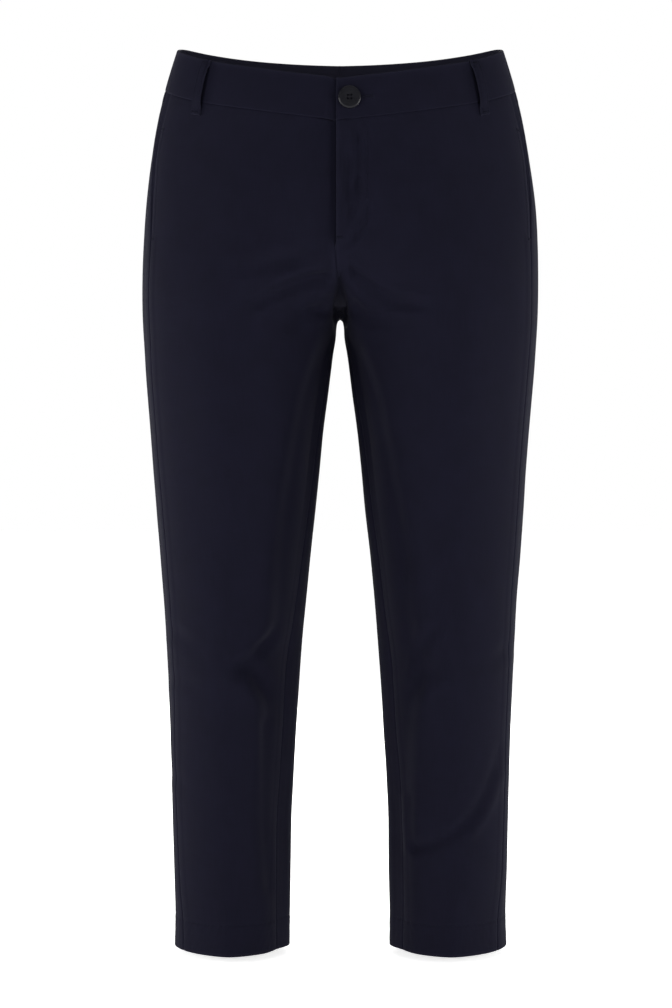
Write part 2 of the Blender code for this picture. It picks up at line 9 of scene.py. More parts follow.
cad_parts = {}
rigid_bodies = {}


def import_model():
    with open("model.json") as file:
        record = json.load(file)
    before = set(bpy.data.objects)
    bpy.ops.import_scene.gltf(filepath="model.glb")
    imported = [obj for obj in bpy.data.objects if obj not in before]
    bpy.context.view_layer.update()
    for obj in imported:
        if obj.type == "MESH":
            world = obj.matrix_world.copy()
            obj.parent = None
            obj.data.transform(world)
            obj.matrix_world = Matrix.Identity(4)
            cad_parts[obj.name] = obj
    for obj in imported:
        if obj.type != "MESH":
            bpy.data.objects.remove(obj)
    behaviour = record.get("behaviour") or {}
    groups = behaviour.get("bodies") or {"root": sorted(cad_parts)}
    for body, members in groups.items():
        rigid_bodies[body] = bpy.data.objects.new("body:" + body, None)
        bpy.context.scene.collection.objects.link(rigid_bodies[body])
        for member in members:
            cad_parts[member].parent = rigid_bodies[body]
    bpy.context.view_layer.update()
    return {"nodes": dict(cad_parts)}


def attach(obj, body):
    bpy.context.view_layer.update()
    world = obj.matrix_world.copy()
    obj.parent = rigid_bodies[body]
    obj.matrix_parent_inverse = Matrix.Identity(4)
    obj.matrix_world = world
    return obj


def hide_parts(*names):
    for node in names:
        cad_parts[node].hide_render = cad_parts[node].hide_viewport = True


# Navy cotton cropped trousers, filled out and hollow. Lengths are in millimetres until a mesh is made.
# +Z is up, the front faces -Y, the wearer's left is +X, and the origin is the middle of the waist.

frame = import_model()
bpy.ops.object.select_all(action="DESELECT")
mm = 0.001
sideWord = {1: "Left", -1: "Right"}

cut = {
    "hem": -873.0,           # height of the hems
    "hemDepth": 32.0,
    "crotch": -248.0,
    "mergeRise": 130.0,      # above the crotch, the two leg loops run into one another over this
    "mergePower": 1.5,
    "spreadRise": 170.0,
    "leastApart": 0.05,
    "notchRounding": 6.0,    # just below the crotch the gap opens as a round arch
    "notchFade": 34.0,
    "innerSlim": 0.21,       # and the legs' inner halves are a little slimmer
    "innerSlimDepth": 7.0,
    "valleyWidth": 26.0,     # rounds the dip between the two halves
    "valleyRise": 70.0,
    "valleyReach": 0.7,
    "halfGap": 0.03,         # sewn edges lie this far from their seam's line
    "lap": 0.9,              # how far a sewn edge's inner side runs on past that line
    "cloth": 1.05,           # one ply
    "bandHeight": 41.0,
    "bandProud": 0.6,
    "seamAllowance": 11.5,
}

# height, outer side from the middle, half gap between the legs, reach to front and back, squareness,
# and how far in from the outline the side seam, the pocket mouth and the inseam run
sectionColumns = ("height", "outer", "gap", "front", "back", "power", "sideSeam", "mouth", "inseam")
sections = (
    (45, 153.4, 3.4, 99, 111, 2.10, 3.0, 11.0, 0.0),
    (21, 161.3, 3.4, 101, 113, 2.10, 3.0, 11.0, 0.0),
    (-1, 168.0, 3.4, 103, 116, 2.10, 3.0, 11.2, 0.0),
    (-21, 174.0, 3.4, 105, 119, 2.10, 3.0, 11.4, 0.0),
    (-49, 181.0, 3.4, 108, 124, 2.12, 3.2, 9.8, 0.0),
    (-89, 188.1, 3.4, 111, 130, 2.14, 4.4, 7.6, 0.0),
    (-129, 193.2, 3.4, 113, 134, 2.15, 7.2, 9.8, 0.0),
    (-169, 196.3, 3.4, 112, 134, 2.15, 9.8, 10.6, 0.0),
    (-209, 197.7, 3.4, 110, 128, 2.14, 10.6, 10.6, 0.0),
    (-249, 197.4, 3.5, 107, 118, 2.12, 10.4, 10.4, 0.0),
    (-289, 194.8, 7.6, 104, 108, 2.08, 10.0, 10.0, 0.4),
    (-329, 191.6, 12.1, 101, 100, 2.04, 9.6, 9.6, 0.8),
    (-409, 185.2, 21.4, 94, 90, 2.00, 9.2, 9.2, 1.6),
    (-489, 179.4, 30.5, 87, 82, 1.98, 9.0, 9.0, 2.6),
    (-569, 173.9, 37.8, 80, 75, 1.96, 8.4, 8.4, 3.8),
    (-649, 170.1, 43.0, 73, 70, 1.93, 7.6, 7.6, 5.2),
    (-729, 167.4, 46.7, 67, 67, 1.89, 7.0, 7.0, 7.6),
    (-809, 165.7, 49.3, 63, 65, 1.82, 8.2, 8.2, 9.6),
    (-849, 165.0, 50.3, 61, 64, 1.73, 10.6, 10.6, 10.0),
    (-873, 165.4, 50.4, 61, 64, 1.64, 11.4, 11.4, 10.0),
)

# Top edge of the waistband: degrees from the centre front over the side to the back, and height
waistLine = ((0, -29.2), (20, -20.5), (45, -6.5), (70, 10.5), (90, 21.5), (105, 27.4), (125, 30.1), (150, 30.4),
             (180, 29.4))


def curveThrough(rows, column=1):
    # a smooth curve through one column of a table, over its first
    table = np.array(rows, float)
    at, value = table[np.argsort(table[:, 0])][:, (0, column)].T
    index = np.arange(len(at))
    before, after = np.maximum(index - 1, 0), np.minimum(index + 1, len(at) - 1)
    slope = (value[after] - value[before]) / (at[after] - at[before])

    def evaluate(x):
        x = np.clip(x, at[0], at[-1])
        i = np.clip(np.searchsorted(at, x, side="right") - 1, 0, len(at) - 2)
        span = at[i + 1] - at[i]
        t = (x - at[i]) / span
        return ((2 * t**3 - 3 * t**2 + 1) * value[i] + (t**3 - 2 * t**2 + t) * span * slope[i]
                + (3 * t**2 - 2 * t**3) * value[i + 1] + (t**3 - t**2) * span * slope[i + 1])

    return evaluate


def ease(t):
    t = np.clip(t, 0.0, 1.0)
    return t * t * (3 - 2 * t)


def bell(distance, width, power=2):
    return np.exp(-(np.abs(distance / width) ** power))


shapeOf = {name: curveThrough(sections, column) for column, name in enumerate(sectionColumns) if column}
waistEdge = curveThrough(waistLine)


def loopAt(height):
    # one leg's loop at a height, or one half of the hips' loop above the crotch
    loop = {key: shapeOf[key](height) for key in ("front", "back", "power")}
    outer, wide = shapeOf["outer"](height), shapeOf["gap"](height)
    above = height - cut["crotch"]
    apart = np.maximum(0.0, 1 - np.maximum(above, 0.0) / cut["mergeRise"]) ** cut["mergePower"]
    middle = outer / 2 * (1 - ease(above / cut["spreadRise"]))
    outward = outer - middle
    inward = np.maximum((middle - cut["halfGap"]) / np.maximum(apart, cut["leastApart"]), outward * (1 - apart))
    gap = np.maximum(wide * ease(-above / cut["notchFade"]), cut["halfGap"])
    arch = wide * np.sqrt(1 - np.exp(np.minimum(above, 0.0) / cut["notchRounding"]))
    down = np.maximum(-above, 0.0) / cut["innerSlimDepth"]
    loop["middle"] = np.where(above < 0, (outer + gap) / 2, middle)
    loop["outward"] = np.where(above < 0, (outer - gap) / 2, outward)
    loop["inward"] = np.where(above < 0, (outer - gap) / 2, inward)
    loop["notch"] = np.maximum(arch, cut["halfGap"]) - gap
    loop["innerPower"] = loop["power"] - cut["innerSlim"] * down**2 * np.exp(-down)
    loop["valley"] = cut["valleyWidth"] * ease(above / cut["valleyRise"])
    return loop


def valleyFill(loop, reach, x):
    n = loop["power"]
    share = loop["middle"] / loop["inward"]
    steep = reach / loop["inward"] * share ** (n - 1) / np.maximum(1 - share**n, 0.02) ** ((n - 1) / n)
    width = cut["valleyReach"] * (loop["middle"] + loop["outward"])
    fade = np.maximum(0.0, 1 - np.maximum(x, 0.0) / width) ** 2
    return np.where(loop["valley"] > 0, steep * (np.hypot(x, loop["valley"]) - x) * fade, 0.0)


def plainPoint(angle, height):
    # the left half's smooth surface: angle 0 is its outer side, a quarter turn is its front
    angle, height = np.broadcast_arrays(np.asarray(angle, float), np.asarray(height, float))
    loop = loopAt(height)
    across, along = np.cos(angle), np.sin(angle)
    n = np.where(across > 0, loop["power"], loop["innerPower"])
    size = (np.abs(across) ** n + np.abs(along) ** n) ** (-1 / n)
    x = loop["middle"] + np.where(across > 0, loop["outward"], loop["inward"]) * size * across
    x = x + np.where(across < 0, loop["notch"] * (size * across) ** 4, 0.0)
    reach = np.where(along > 0, loop["front"], loop["back"])
    y = -reach * size * along - np.copysign(valleyFill(loop, reach, x), along)
    return np.stack([x, y, height + np.zeros_like(x)], axis=-1)


def angleOfX(x, height):
    loop = loopAt(height)
    half = np.where(x > loop["middle"], loop["outward"], loop["inward"])
    share = np.clip((x - loop["middle"]) / half, -1.0, 1.0)
    n = np.where(share > 0, loop["power"], loop["innerPower"])
    return np.arctan2(np.maximum(0.0, 1 - np.abs(share) ** n) ** (1 / n), share)


def angleAtX(x, height):
    # runs on past the centre front, to the other half, where x is below zero
    angle = angleOfX(np.abs(x), height)
    return np.where(np.asarray(x) >= 0, angle, 2 * angleOfX(0.0, height) - angle)


def onOwnHalf(angle, height):
    centre = angleOfX(0.0, height)
    past = (height > cut["crotch"]) & (np.abs(angle) > centre)
    return np.where(past, 2 * np.copysign(centre, angle) - angle, angle), np.where(past, -1.0, 1.0)


def arcSpeed(angle, height):
    step = plainPoint(angle + 0.01, height) - plainPoint(angle - 0.01, height)
    return np.linalg.norm(step, axis=-1) / 0.02


def insetAngle(edge, height):
    loop = loopAt(height)
    return angleOfX(loop["middle"] + loop["outward"] - shapeOf[edge](height), height)


def waistHeight(angle):
    return waistEdge(np.abs(90 - np.degrees(angle)))


def seamHeight(angle):
    return waistHeight(angle) - cut["bandHeight"] - cut["halfGap"]


# Folds: from x, z to x, z as seen from the front or the back, how far the line bows aside, its half width,
# its depth (a trough is below zero), and how much of that depth is gone by its end
folds = {
    "front": (
        (-8, -218, -76, -240, 4, 5.5, -6.6, 0.7),     # from the crotch, on the wearer's right
        (-20, -247, -46, -262, 3, 5.0, -3.8, 0.7),
        (-48, -202, -90, -211, 2, 7.0, -2.0, 0.4),
        (-20, -203, -48, -217, 2, 8.0, 2.4, 0.3),
        (6, -211, 76, -244, 6, 5.5, -6.6, 0.7),       # and on the left
        (14, -243, 42, -259, 3, 5.0, -3.4, 0.6),
        (-12, -270, -32, -336, -4, 8.0, -2.2, 0.9),   # down the thighs
        (13, -272, 38, -346, 5, 8.0, -2.0, 0.9),
        (-94, -588, -62, -562, 3, 6.0, -3.2, 0.5),    # right knee
        (-91, -592, -66, -614, 0, 9.0, -4.6, 0.5),
        (-160, -560, -134, -573, 2, 6.5, -1.3, 0.7),
        (-160, -606, -130, -613, -2, 7.0, -1.0, 0.7),
        (86, -556, 74, -606, 3, 6.5, -3.0, 0.35),     # left knee
        (86, -596, 68, -614, 0, 9.0, -3.2, 0.5),
        (88, -548, 100, -588, 2, 9.0, 2.0, 0.4),
        (160, -576, 132, -587, -2, 7.0, -1.1, 0.7),
        (-71, -650, -68, -806, 4, 6.5, -2.4, 0.15),   # calves
        (-160, -702, -140, -712, 2, 7.0, -0.8, 0.7),
        (58, -724, 62, -770, 0, 4.5, 1.6, 0.2),
    ),
    "back": (
        (-24, -256, -128, -282, 8, 9.0, -3.4, 0.6),   # under the seat
        (-28, -286, -98, -308, 6, 7.5, -3.0, 0.6),
        (24, -254, 132, -276, 9, 9.0, -3.6, 0.6),
        (32, -282, 88, -306, 5, 7.0, -2.8, 0.6),
        (-14, -196, -72, -234, 6, 8.0, -2.2, 0.5),
        (14, -202, 64, -240, 6, 8.0, -2.0, 0.5),
        (-66, -552, -146, -582, 6, 7.5, -5.4, 0.4),   # behind the knees
        (-70, -618, -140, -596, -5, 7.5, -4.4, 0.4),
        (-142, -566, -98, -600, 2, 6.0, -3.0, 0.7),
        (68, -566, 150, -548, -6, 7.5, -5.2, 0.4),
        (72, -600, 136, -628, 5, 7.5, -4.4, 0.4),
        (144, -572, 104, -592, 2, 6.0, -2.6, 0.7),
        (-74, -714, -128, -750, 4, 8.0, -3.0, 0.6),   # calves
        (132, -704, 80, -744, 4, 8.0, -3.2, 0.6),
        (78, -800, 122, -790, 2, 7.5, -2.2, 0.6),
    ),
}
# Folds of the left calf's front that bend: the points they run through, half width, and depth at each end
bentFolds = (
    (((72, -768), (88, -763), (104, -755), (120, -744), (131, -731), (141, -712), (149, -692), (155, -672)),
     5.2, -4.4, -0.9),
    (((128, -752), (139, -738), (148, -720), (155, -700)), 5.6, 2.2, 1.4),
)
# Where the inner side of each leg's front turns away: height, distance from the middle, and how deep
innerPlanes = {
    -1: ((-262, 18, 0.0), (-282, 30, 3.0), (-310, 42, 4.6), (-360, 54, 5.4), (-420, 64, 5.4), (-487, 72, 5.0),
         (-540, 74, 5.0), (-560, 80, 5.4), (-574, 92, 6.2), (-593, 97, 6.4), (-610, 92, 6.2), (-626, 85, 5.8),
         (-670, 81, 5.4), (-740, 79, 5.0), (-808, 77, 4.4), (-873, 76, 3.0)),
    1: ((-262, 18, 0.0), (-282, 30, 3.0), (-310, 42, 4.6), (-360, 54, 5.4), (-420, 66, 5.4), (-487, 78, 5.0),
        (-545, 80, 5.0), (-574, 86, 5.8), (-593, 88, 6.0), (-620, 84, 5.6), (-670, 80, 5.2), (-740, 77, 4.8),
        (-808, 76, 4.0), (-873, 76, 2.6)),
}
plane = {"width": 23.0, "turn": 3.0, "turnWidth": 27.0, "depth": 1.45}
# The crease down the centre front, above the crotch
hollow = {"top": -200.0, "deep": -238.0, "end": -268.0, "endFade": 22.0, "depth": 11.5, "narrow": 2.4, "wide": 4.2,
          "power": 1.15}
foldEnds = {"taper": 1.4, "shoulder": 0.32, "shoulderAt": 1.9, "shoulderWidth": 0.75, "sway": 0.8,
            "clearOfCentre": 6.0, "clearBelow": 14.0, "turn": 36.0}
# Soft waves between the folds: width and height of a wave, its depth, and the seed of its pattern
waves = ((52.0, 120.0, 1.5, 11), (26.0, 44.0, 0.55, 23))
wavesFrom = {"top": -60.0, "fade": 120.0}


def softNoise(x, z, width, height, seed):
    # smooth random waves, from a seeded lattice, about -1 to 1
    lattice = np.random.default_rng(seed).uniform(-1, 1, (64, 64))
    u, v = x / width + 32, z / height + 32
    i, j = np.floor(u).astype(int), np.floor(v).astype(int)
    s, t = ease(u - i), ease(v - j)
    i, j = i % 63, j % 63
    low = lattice[i, j] * (1 - s) + lattice[i + 1, j] * s
    high = lattice[i, j + 1] * (1 - s) + lattice[i + 1, j + 1] * s
    return low * (1 - t) + high * t


def fromLine(x, z, startX, startZ, endX, endZ):
    # the share of a line that a point has passed, how far aside it lies, and how far beyond the line's ends
    dx, dz = endX - startX, endZ - startZ
    length = math.hypot(dx, dz)
    along = ((x - startX) * dx + (z - startZ) * dz) / length
    aside = ((x - startX) * dz - (z - startZ) * dx) / length
    return np.clip(along / length, 0.0, 1.0), aside, np.maximum(0.0, np.maximum(-along, along - length))


def alongPath(path, x, z):
    # distance from a bent line, and the share of its length where it is nearest
    path = np.array(path, float)
    steps = np.diff(path, axis=0)
    lengths = np.hypot(*steps.T)
    near, share = np.full(x.shape, 1e6), np.zeros(x.shape)
    for start, step, length, before in zip(path, steps, lengths, np.cumsum(lengths) - lengths):
        at = np.clip(((x - start[0]) * step[0] + (z - start[1]) * step[1]) / length**2, 0.0, 1.0)
        distance = np.hypot(x - start[0] - at * step[0], z - start[1] - at * step[1])
        share = np.where(distance < near, (before + at * length) / lengths.sum(), share)
        near = np.minimum(near, distance)
    return near, share


def foldLift(points):
    # how far the folds and soft waves move points of the surface out or in
    x, y, z = points[..., 0], points[..., 1], points[..., 2]
    total = np.zeros_like(x)
    seenFrom = {"front": ease(0.5 - y / foldEnds["turn"])}
    seenFrom["back"] = 1 - seenFrom["front"]
    rows = [(face, *row) for face in ("front", "back") for row in folds[face]]
    for number, (face, startX, startZ, endX, endZ, bow, width, depth, fade) in enumerate(rows):
        share, aside, beyond = fromLine(x, z, startX, startZ, endX, endZ)
        aside = aside - 4 * bow * share * (1 - share) - foldEnds["sway"] * np.sin(5 * share + number)
        across = np.abs(aside) / width
        ridge = bell(across - foldEnds["shoulderAt"], foldEnds["shoulderWidth"])
        profile = bell(across, 1) - foldEnds["shoulder"] * ridge
        total += seenFrom[face] * depth * (1 - fade * share) * profile * bell(beyond, foldEnds["taper"] * width)
    for path, width, startDepth, endDepth in bentFolds:
        near, share = alongPath(path, x, z)
        total += seenFrom["front"] * (startDepth + (endDepth - startDepth) * share) * bell(near, width)
    for side, rows in innerPlanes.items():
        edge, depth = (curveThrough(rows, column)(z) for column in (1, 2))
        sunk = ease((edge - side * x) / plane["width"]) * ease((-y - plane["turn"]) / plane["turnWidth"])
        total -= np.where((side * x > 0) & (z < rows[0][0]), plane["depth"] * depth * sunk, 0.0)
    down = ease((hollow["top"] - z) / (hollow["top"] - hollow["deep"]))
    width = hollow["narrow"] + (hollow["wide"] - hollow["narrow"]) * down
    centre = hollow["depth"] * down * ease((z - hollow["end"]) / hollow["endFade"]) * bell(x, width, hollow["power"])
    for width, height, depth, seed in waves:
        front, back = (softNoise(x, z, width, height, seed + k) for k in (0, 1))
        soft = front * seenFrom["front"] + back * seenFrom["back"]
        total += depth * soft * ease((wavesFrom["top"] - z) / wavesFrom["fade"])
    clear = ease((np.abs(x) - foldEnds["clearOfCentre"]) / foldEnds["clearOfCentre"])
    joined = ease((z - cut["crotch"] + foldEnds["clearBelow"]) / foldEnds["clearBelow"])
    return total * (1 - joined * (1 - clear)) - centre * seenFrom["front"]


def surfacePoint(side, angle, height, lift=0.0):
    # a point of the finished surface, moved out by lift; side is 1 on the wearer's left
    angle, height = np.broadcast_arrays(np.asarray(angle, float), np.asarray(height, float))
    angle, flip = onOwnHalf(angle, height)
    point = plainPoint(angle, height)
    across = plainPoint(angle + 0.002, height) - plainPoint(angle - 0.002, height)
    up = plainPoint(angle, height + 0.5) - plainPoint(angle, height - 0.5)
    outward = np.cross(up, across)
    outward /= np.linalg.norm(outward, axis=-1, keepdims=True)
    point[..., 0] *= flip * side
    outward[..., 0] *= flip * side
    return point + outward * (np.asarray(lift) + foldLift(point))[..., None]


def runAlong(angles, heights):
    # the smooth surface's points at these places, and the distance run over them
    own, flip = onOwnHalf(angles, heights)
    points = plainPoint(own, heights)
    points[..., 0] *= flip
    run = np.zeros(angles.shape)
    run[..., 1:] = np.cumsum(np.linalg.norm(np.diff(points, axis=-2), axis=-1), axis=-1)
    return points, run


# Places across a piece: close together at both edges, then even
edgeSteps = np.array([0.0, 0.12, 0.35, 0.7, 1.1, 1.7, 2.6, 4.2, 7.0, 10.8, 12.0])
# just above the crotch a row starts further and further out, and its inner third makes up for that
rowPull = {"most": 34.0, "fade": 90.0, "power": 3.0}
panels = {
    "front": 62, "back": 70,          # even columns
    "riseRows": 62, "legRows": 176,
    "crotchSteps": (0.08, 0.25, 0.6, 1.2, 2.2, 3.6, 5.4, 7.6),
    "hemSteps": (1.5, 0.6, 0.0, -0.6, -1.2, -1.8, -2.4, -3.2, -5.0),
    "mouthEnd": -176.0, "mouthStitch": 6.0,
}
dart = {"x": 75.0, "lean": 0.03, "leanFrom": 40.0, "length": 92.0, "fade": 24.0, "depth": 0.95, "width": 1.1,
        "ridge": 0.3, "ridgeAt": 3.2, "ridgeWidth": 1.8,
        "fullness": 0.7, "fullAcross": 15.0, "fullDown": 18.0, "fullBelow": 10.0}  # the cloth let out at its end


def acrossPiece(startEdge, endEdge, heights, columns):
    # angles, and distances from both edges, for one row whose points may lie at different heights
    start, end = startEdge(heights), endEdge(heights)
    angles = start[:, None] + (end - start)[:, None] * np.linspace(0, 1, 161)
    points, run = runAlong(angles, heights[:, None])
    total = run[:, -1]
    above = heights - cut["crotch"]
    pull = rowPull["most"] * (1 - np.exp(-np.abs(points[:, 0, 1]) / rowPull["most"]))
    pull = np.where(above > 0, pull * (1 - ease(above / rowPull["fade"])), 0.0)
    count = len(edgeSteps)
    left = 1 - (np.arange(len(heights)) - count + 1) / columns
    place = total - (edgeSteps[-1] + (total + pull - 2 * edgeSteps[-1]) * left - pull * left ** rowPull["power"])
    place[:count] = edgeSteps
    place[-count:] = total[-count:] - edgeSteps[::-1]
    found = np.array([np.interp(place[j], run[j], angles[j]) for j in range(len(heights))])
    return found, place, total - place


def panelGrid(kind, innerEdge, outerEdge):
    # rows from the waist seam to the hem, with each point's distance from every edge
    columns = panels[kind]
    width = columns - 1 + 2 * len(edgeSteps)
    top = np.full(width, -50.0)
    for _ in range(6):
        top = seamHeight(acrossPiece(innerEdge, outerEdge, top, columns)[0]) + cut["lap"]
    heights = [top - step for step in edgeSteps[:9]]
    closeness = np.clip(1 - (np.arange(width) - 8) / (width - 16), 0.0, 1.0) ** 1.5
    start = heights[-1]
    for i in range(1, panels["riseRows"] + 1):
        down = i / panels["riseRows"]
        drop = closeness * math.sin(math.pi / 2 * down) + (1 - closeness) * down
        heights.append(start + (cut["crotch"] - start) * drop)
    low, hemTop = cut["crotch"] - panels["crotchSteps"][-1], cut["hem"] + cut["hemDepth"]
    level = np.concatenate([
        cut["crotch"] - np.array(panels["crotchSteps"]), np.linspace(low, hemTop + 2.5, panels["legRows"])[1:],
        hemTop + np.array(panels["hemSteps"]), np.linspace(hemTop - 8.0, cut["hem"] + 7.0, 7),
        cut["hem"] + edgeSteps[7::-1]])
    height = np.array(heights + [np.full(width, value) for value in level])
    rows = zip(*(acrossPiece(innerEdge, outerEdge, row, columns) for row in height))
    angle, inner, outer = (np.array(part) for part in rows)
    return {"angle": angle, "height": height, "inner": inner, "outer": outer, "top": top[None, :] - height,
            "hem": height - cut["hem"]}


def addMesh(name, points, faces, material, sharpAngle):
    mesh = bpy.data.meshes.new(name)
    mesh.from_pydata((points * mm).tolist(), [], faces)
    mesh.shade_smooth()
    mesh.set_sharp_from_angle(angle=math.radians(sharpAngle))
    mesh.materials.append(material)
    piece = bpy.data.objects.new(name, mesh)
    bpy.context.scene.collection.objects.link(piece)
    return piece


def clothObject(name, outer, inner, place, wear, material):
    # a closed thin shell between two grids of points, with its place on the cloth as a UV map in metres
    rows, columns = outer.shape[:2]
    points = np.concatenate([outer.reshape(-1, 3), inner.reshape(-1, 3)])
    index = np.arange(rows * columns).reshape(rows, columns)
    quads = np.stack([index[:-1, :-1], index[:-1, 1:], index[1:, 1:], index[1:, :-1]], axis=-1).reshape(-1, 4)
    rim = np.concatenate([index[0, :], index[1:, -1], index[-1, -2::-1], index[-2:0:-1, 0]])
    nextRim = np.roll(rim, -1)
    back = rows * columns
    sides = np.stack([rim, rim + back, nextRim + back, nextRim], axis=-1)
    faces = np.concatenate([quads, quads[:, ::-1] + back, sides])
    r, c = rows // 2, columns // 2
    normal = np.cross(outer[r, c + 1] - outer[r, c], outer[r + 1, c] - outer[r, c])
    if np.dot(normal, outer[r, c] - inner[r, c]) < 0:
        faces = faces[:, ::-1]
    piece = addMesh(name, points, faces.tolist(), material, 70)
    uv = np.concatenate([place.reshape(-1, 2)] * 2) * mm
    piece.data.uv_layers.new(name="cloth").data.foreach_set("uv", uv[faces.ravel()].ravel())
    # the inner points are marked 1, so the cloth material can paint the inside face lighter: painted light where the
    # lamps reach little
    values = {"wear": np.concatenate([np.clip(wear, 0, 1).ravel()] * 2), "reverseFaceAndPaintedLight": np.repeat([0.0, 1.0], back)}
    for key, value in values.items():
        piece.data.attributes.new(key, "FLOAT", "POINT").data.foreach_set("value", value)
    return piece


def finishPiece(piece, slot, *nodes):
    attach(piece, "root")
    if nodes:
        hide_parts(*nodes)
    return piece


# Sewn seams, folded edges and the hem
sewing = {
    "groove": 0.4, "grooveWidth": 1.0,     # a sewn edge turns down into its seam
    "pressed": 0.3, "pressedFrom": 2.2, "pressedEnd": 1.8,  # the allowance pressed open behind it
    "rumple": 0.17, "rumplePitch": 9.5, "rumpleReach": 9.0,
    "turnedEdge": 8.0, "secondPly": 0.9,   # width of the second ply behind a folded edge, and what it adds
    "stitchWidth": 0.9,                    # half width of the groove under a line of stitches
    "edgeEase": 6.0,                       # an edge turns from sewn to folded over this height
    "hemProud": 0.22, "hemStitch": 30.4, "hemGroove": 0.34, "hemRope": 0.13, "ropePitch": 8.5, "ropeLean": 0.55,
    "hemRumple": 0.14, "mouthRumple": 0.12, "mouthGroove": 0.3, "foldRipple": 8.0, "mouthRipple": 7.0,
    "rimWall": 0.16, "crotchReach": 14.0,
}
# How worn each edge is, and how far in the wear reaches. The waistband's top is partly real wear and partly a painted
# highlight along its fold
wearing = {"hem": (0.9, 1.6), "mouth": (0.9, 1.4), "fly": (0.55, 1.2), "seam": (0.22, 1.0), "hemFold": (0.12, 1.2),
           "bandTopWearAndPaintedHighlight": (0.95, 1.3), "bandLow": (0.05, 1.0), "bandFront": (0.5, 1.1), "loopSide": (0.45, 0.7),
           "loopEnd": (0.25, 0.8)}
clothSpacing = 300.0  # each half's pieces lie on a stretch of cloth of their own


def wearAt(edge, distance, power=1):
    amount, reach = wearing[edge]
    return amount * bell(distance, reach, power)


def clothPlace(run, height, side):
    return np.stack([run * side + clothSpacing * (side + 2), height], axis=-1)


def edgeRounding(wall, *distances):
    # how far a face has drawn back towards the middle of its wall, at distances from its edges
    radius = wall / 2
    run = np.clip(np.minimum.reduce(distances), 0.0, radius)
    drop = radius - np.sqrt(np.maximum(radius**2 - (radius - run) ** 2, 0.0))
    return np.minimum(drop, radius - sewing["rimWall"] / 2)


def rumple(along, seed, pitch=sewing["rumplePitch"]):
    # the uneven little ripples that a line of stitching draws into cloth
    drift = softNoise(along, 0 * along, 37, 50, seed)
    strength = 0.55 + 0.45 * softNoise(along, 0 * along + 60, 23, 50, seed + 1)
    return strength * np.sin(2 * np.pi * along / pitch + 3.5 * drift)


def seamLift(distance, along, seed):
    groove = -sewing["groove"] * bell(distance, sewing["grooveWidth"], 1.5)
    end = (distance - cut["seamAllowance"] + 1.2) / sewing["pressedEnd"]
    allowance = ease(distance / sewing["pressedFrom"]) - ease(end)
    ripple = sewing["rumple"] * rumple(along, seed) * bell(distance, sewing["rumpleReach"], 1)
    return groove + sewing["pressed"] * allowance + ripple


def apartFromCrotch(height):
    # at the crotch the two halves face one another, and their edges neither dip nor draw back
    return 1 - bell(height - cut["crotch"], sewing["crotchReach"], 4)


# The fly on the left front: its edge laps past the centre, and a J of stitching holds its facing
fly = {
    "lap": 4.4, "lapEnd": -243.0, "lapFade": 45.0,
    "foldEnd": -185.0,       # above this the left front's inner edge is folded, not sewn
    "stitchTop": -60.0, "stitchX": 25.3, "straightEnd": -163.0, "curveDrop": 19.6,
    "rightSink": 6.2, "rightReach": 15.0,
}
# where the fly's strip swells and where it is drawn in: from x, z to x, z, then half width and lift
flyShapes = (
    (1.4, -70, 1.0, -120, 2.6, 1.3),
    (4.8, -104, 4.4, -136, 2.0, -1.7),
    (6.6, -76, 6.6, -98, 3.4, 1.3),
    (8.8, -106, 7.9, -136, 2.9, -3.0),
    (12.4, -86, 11.8, -124, 2.4, 0.7),
    (16.3, -84, 15.4, -130, 3.0, -2.8),
    (15.4, -130, 10.4, -156, 2.9, -2.5),
    (20.4, -80, 19.4, -136, 3.6, 0.9),
    (3.5, -140, 4.0, -158, 3.0, 1.2),
    (23.0, -158, 15.0, -177, 3.0, -2.4),
    (4.0, -188, 14.0, -181, 2.4, -1.6),
)
flyRipples = {"depth": 0.32, "pitch": 4.6, "lean": 23.0, "taper": 3.4}


def flyLap(height):
    return fly["lap"] * ease((height - fly["lapEnd"]) / fly["lapFade"])


def flyRelief(x, z):
    total = np.zeros_like(x)
    for *line, width, lift in flyShapes:
        _, aside, beyond = fromLine(x, z, *line)
        total += lift * bell(aside, width) * bell(beyond, flyRipples["taper"] * width)
    ripples = flyRipples["depth"] * np.sin(2 * np.pi * x / flyRipples["pitch"] + z / flyRipples["lean"])
    ripples = ripples * ease((x + 4) / 5) * (1 - ease((x - 14) / 6))
    return total + ripples * ease((-66 - z) / 20) * ease((z + 180) / 20)


def jLine(count):
    # the J's places in x and z, from the band's seam down and round to the fly's edge
    turn = np.linspace(0, np.pi / 2, 40)[1:]
    across = fly["stitchX"] + fly["lap"]
    x = np.concatenate([np.full(40, fly["stitchX"]), -fly["lap"] + across * np.cos(turn)])
    z = np.concatenate([np.linspace(fly["stitchTop"], fly["straightEnd"], 40),
                        fly["straightEnd"] - fly["curveDrop"] * np.sin(turn)])
    run = np.concatenate([[0], np.cumsum(np.hypot(np.diff(x), np.diff(z)))])
    at = np.linspace(0, run[-1], count)
    return np.interp(at, run, x), np.interp(at, run, z)


def jGroove(x, z):
    near = np.full(x.shape, 99.0)
    for px, pz in zip(*jLine(90)):
        near = np.minimum(near, np.hypot(x - px, z - pz))
    return 0.2 * bell(near - 3.2, 1.6) - 0.4 * bell(near, 1.0)


# Edges of the fronts and the backs, as angles at a height
def inseamAngle(height):
    loop = loopAt(height)
    return angleOfX(loop["middle"] - loop["inward"] + np.maximum(shapeOf["inseam"](height), 0.0), height)


def frontInnerEdge(side):
    def edge(height):
        above = angleAtX(cut["halfGap"] - side * flyLap(height), height)
        above = np.minimum(above, np.pi - cut["halfGap"] / shapeOf["front"](height))
        below = inseamAngle(height)
        below = below - cut["halfGap"] / arcSpeed(below, height)
        return np.where(height > cut["crotch"], above, below)
    return edge


def frontOuterEdge(height):
    angle = insetAngle("mouth", height)
    return angle + cut["halfGap"] / arcSpeed(angle, height)


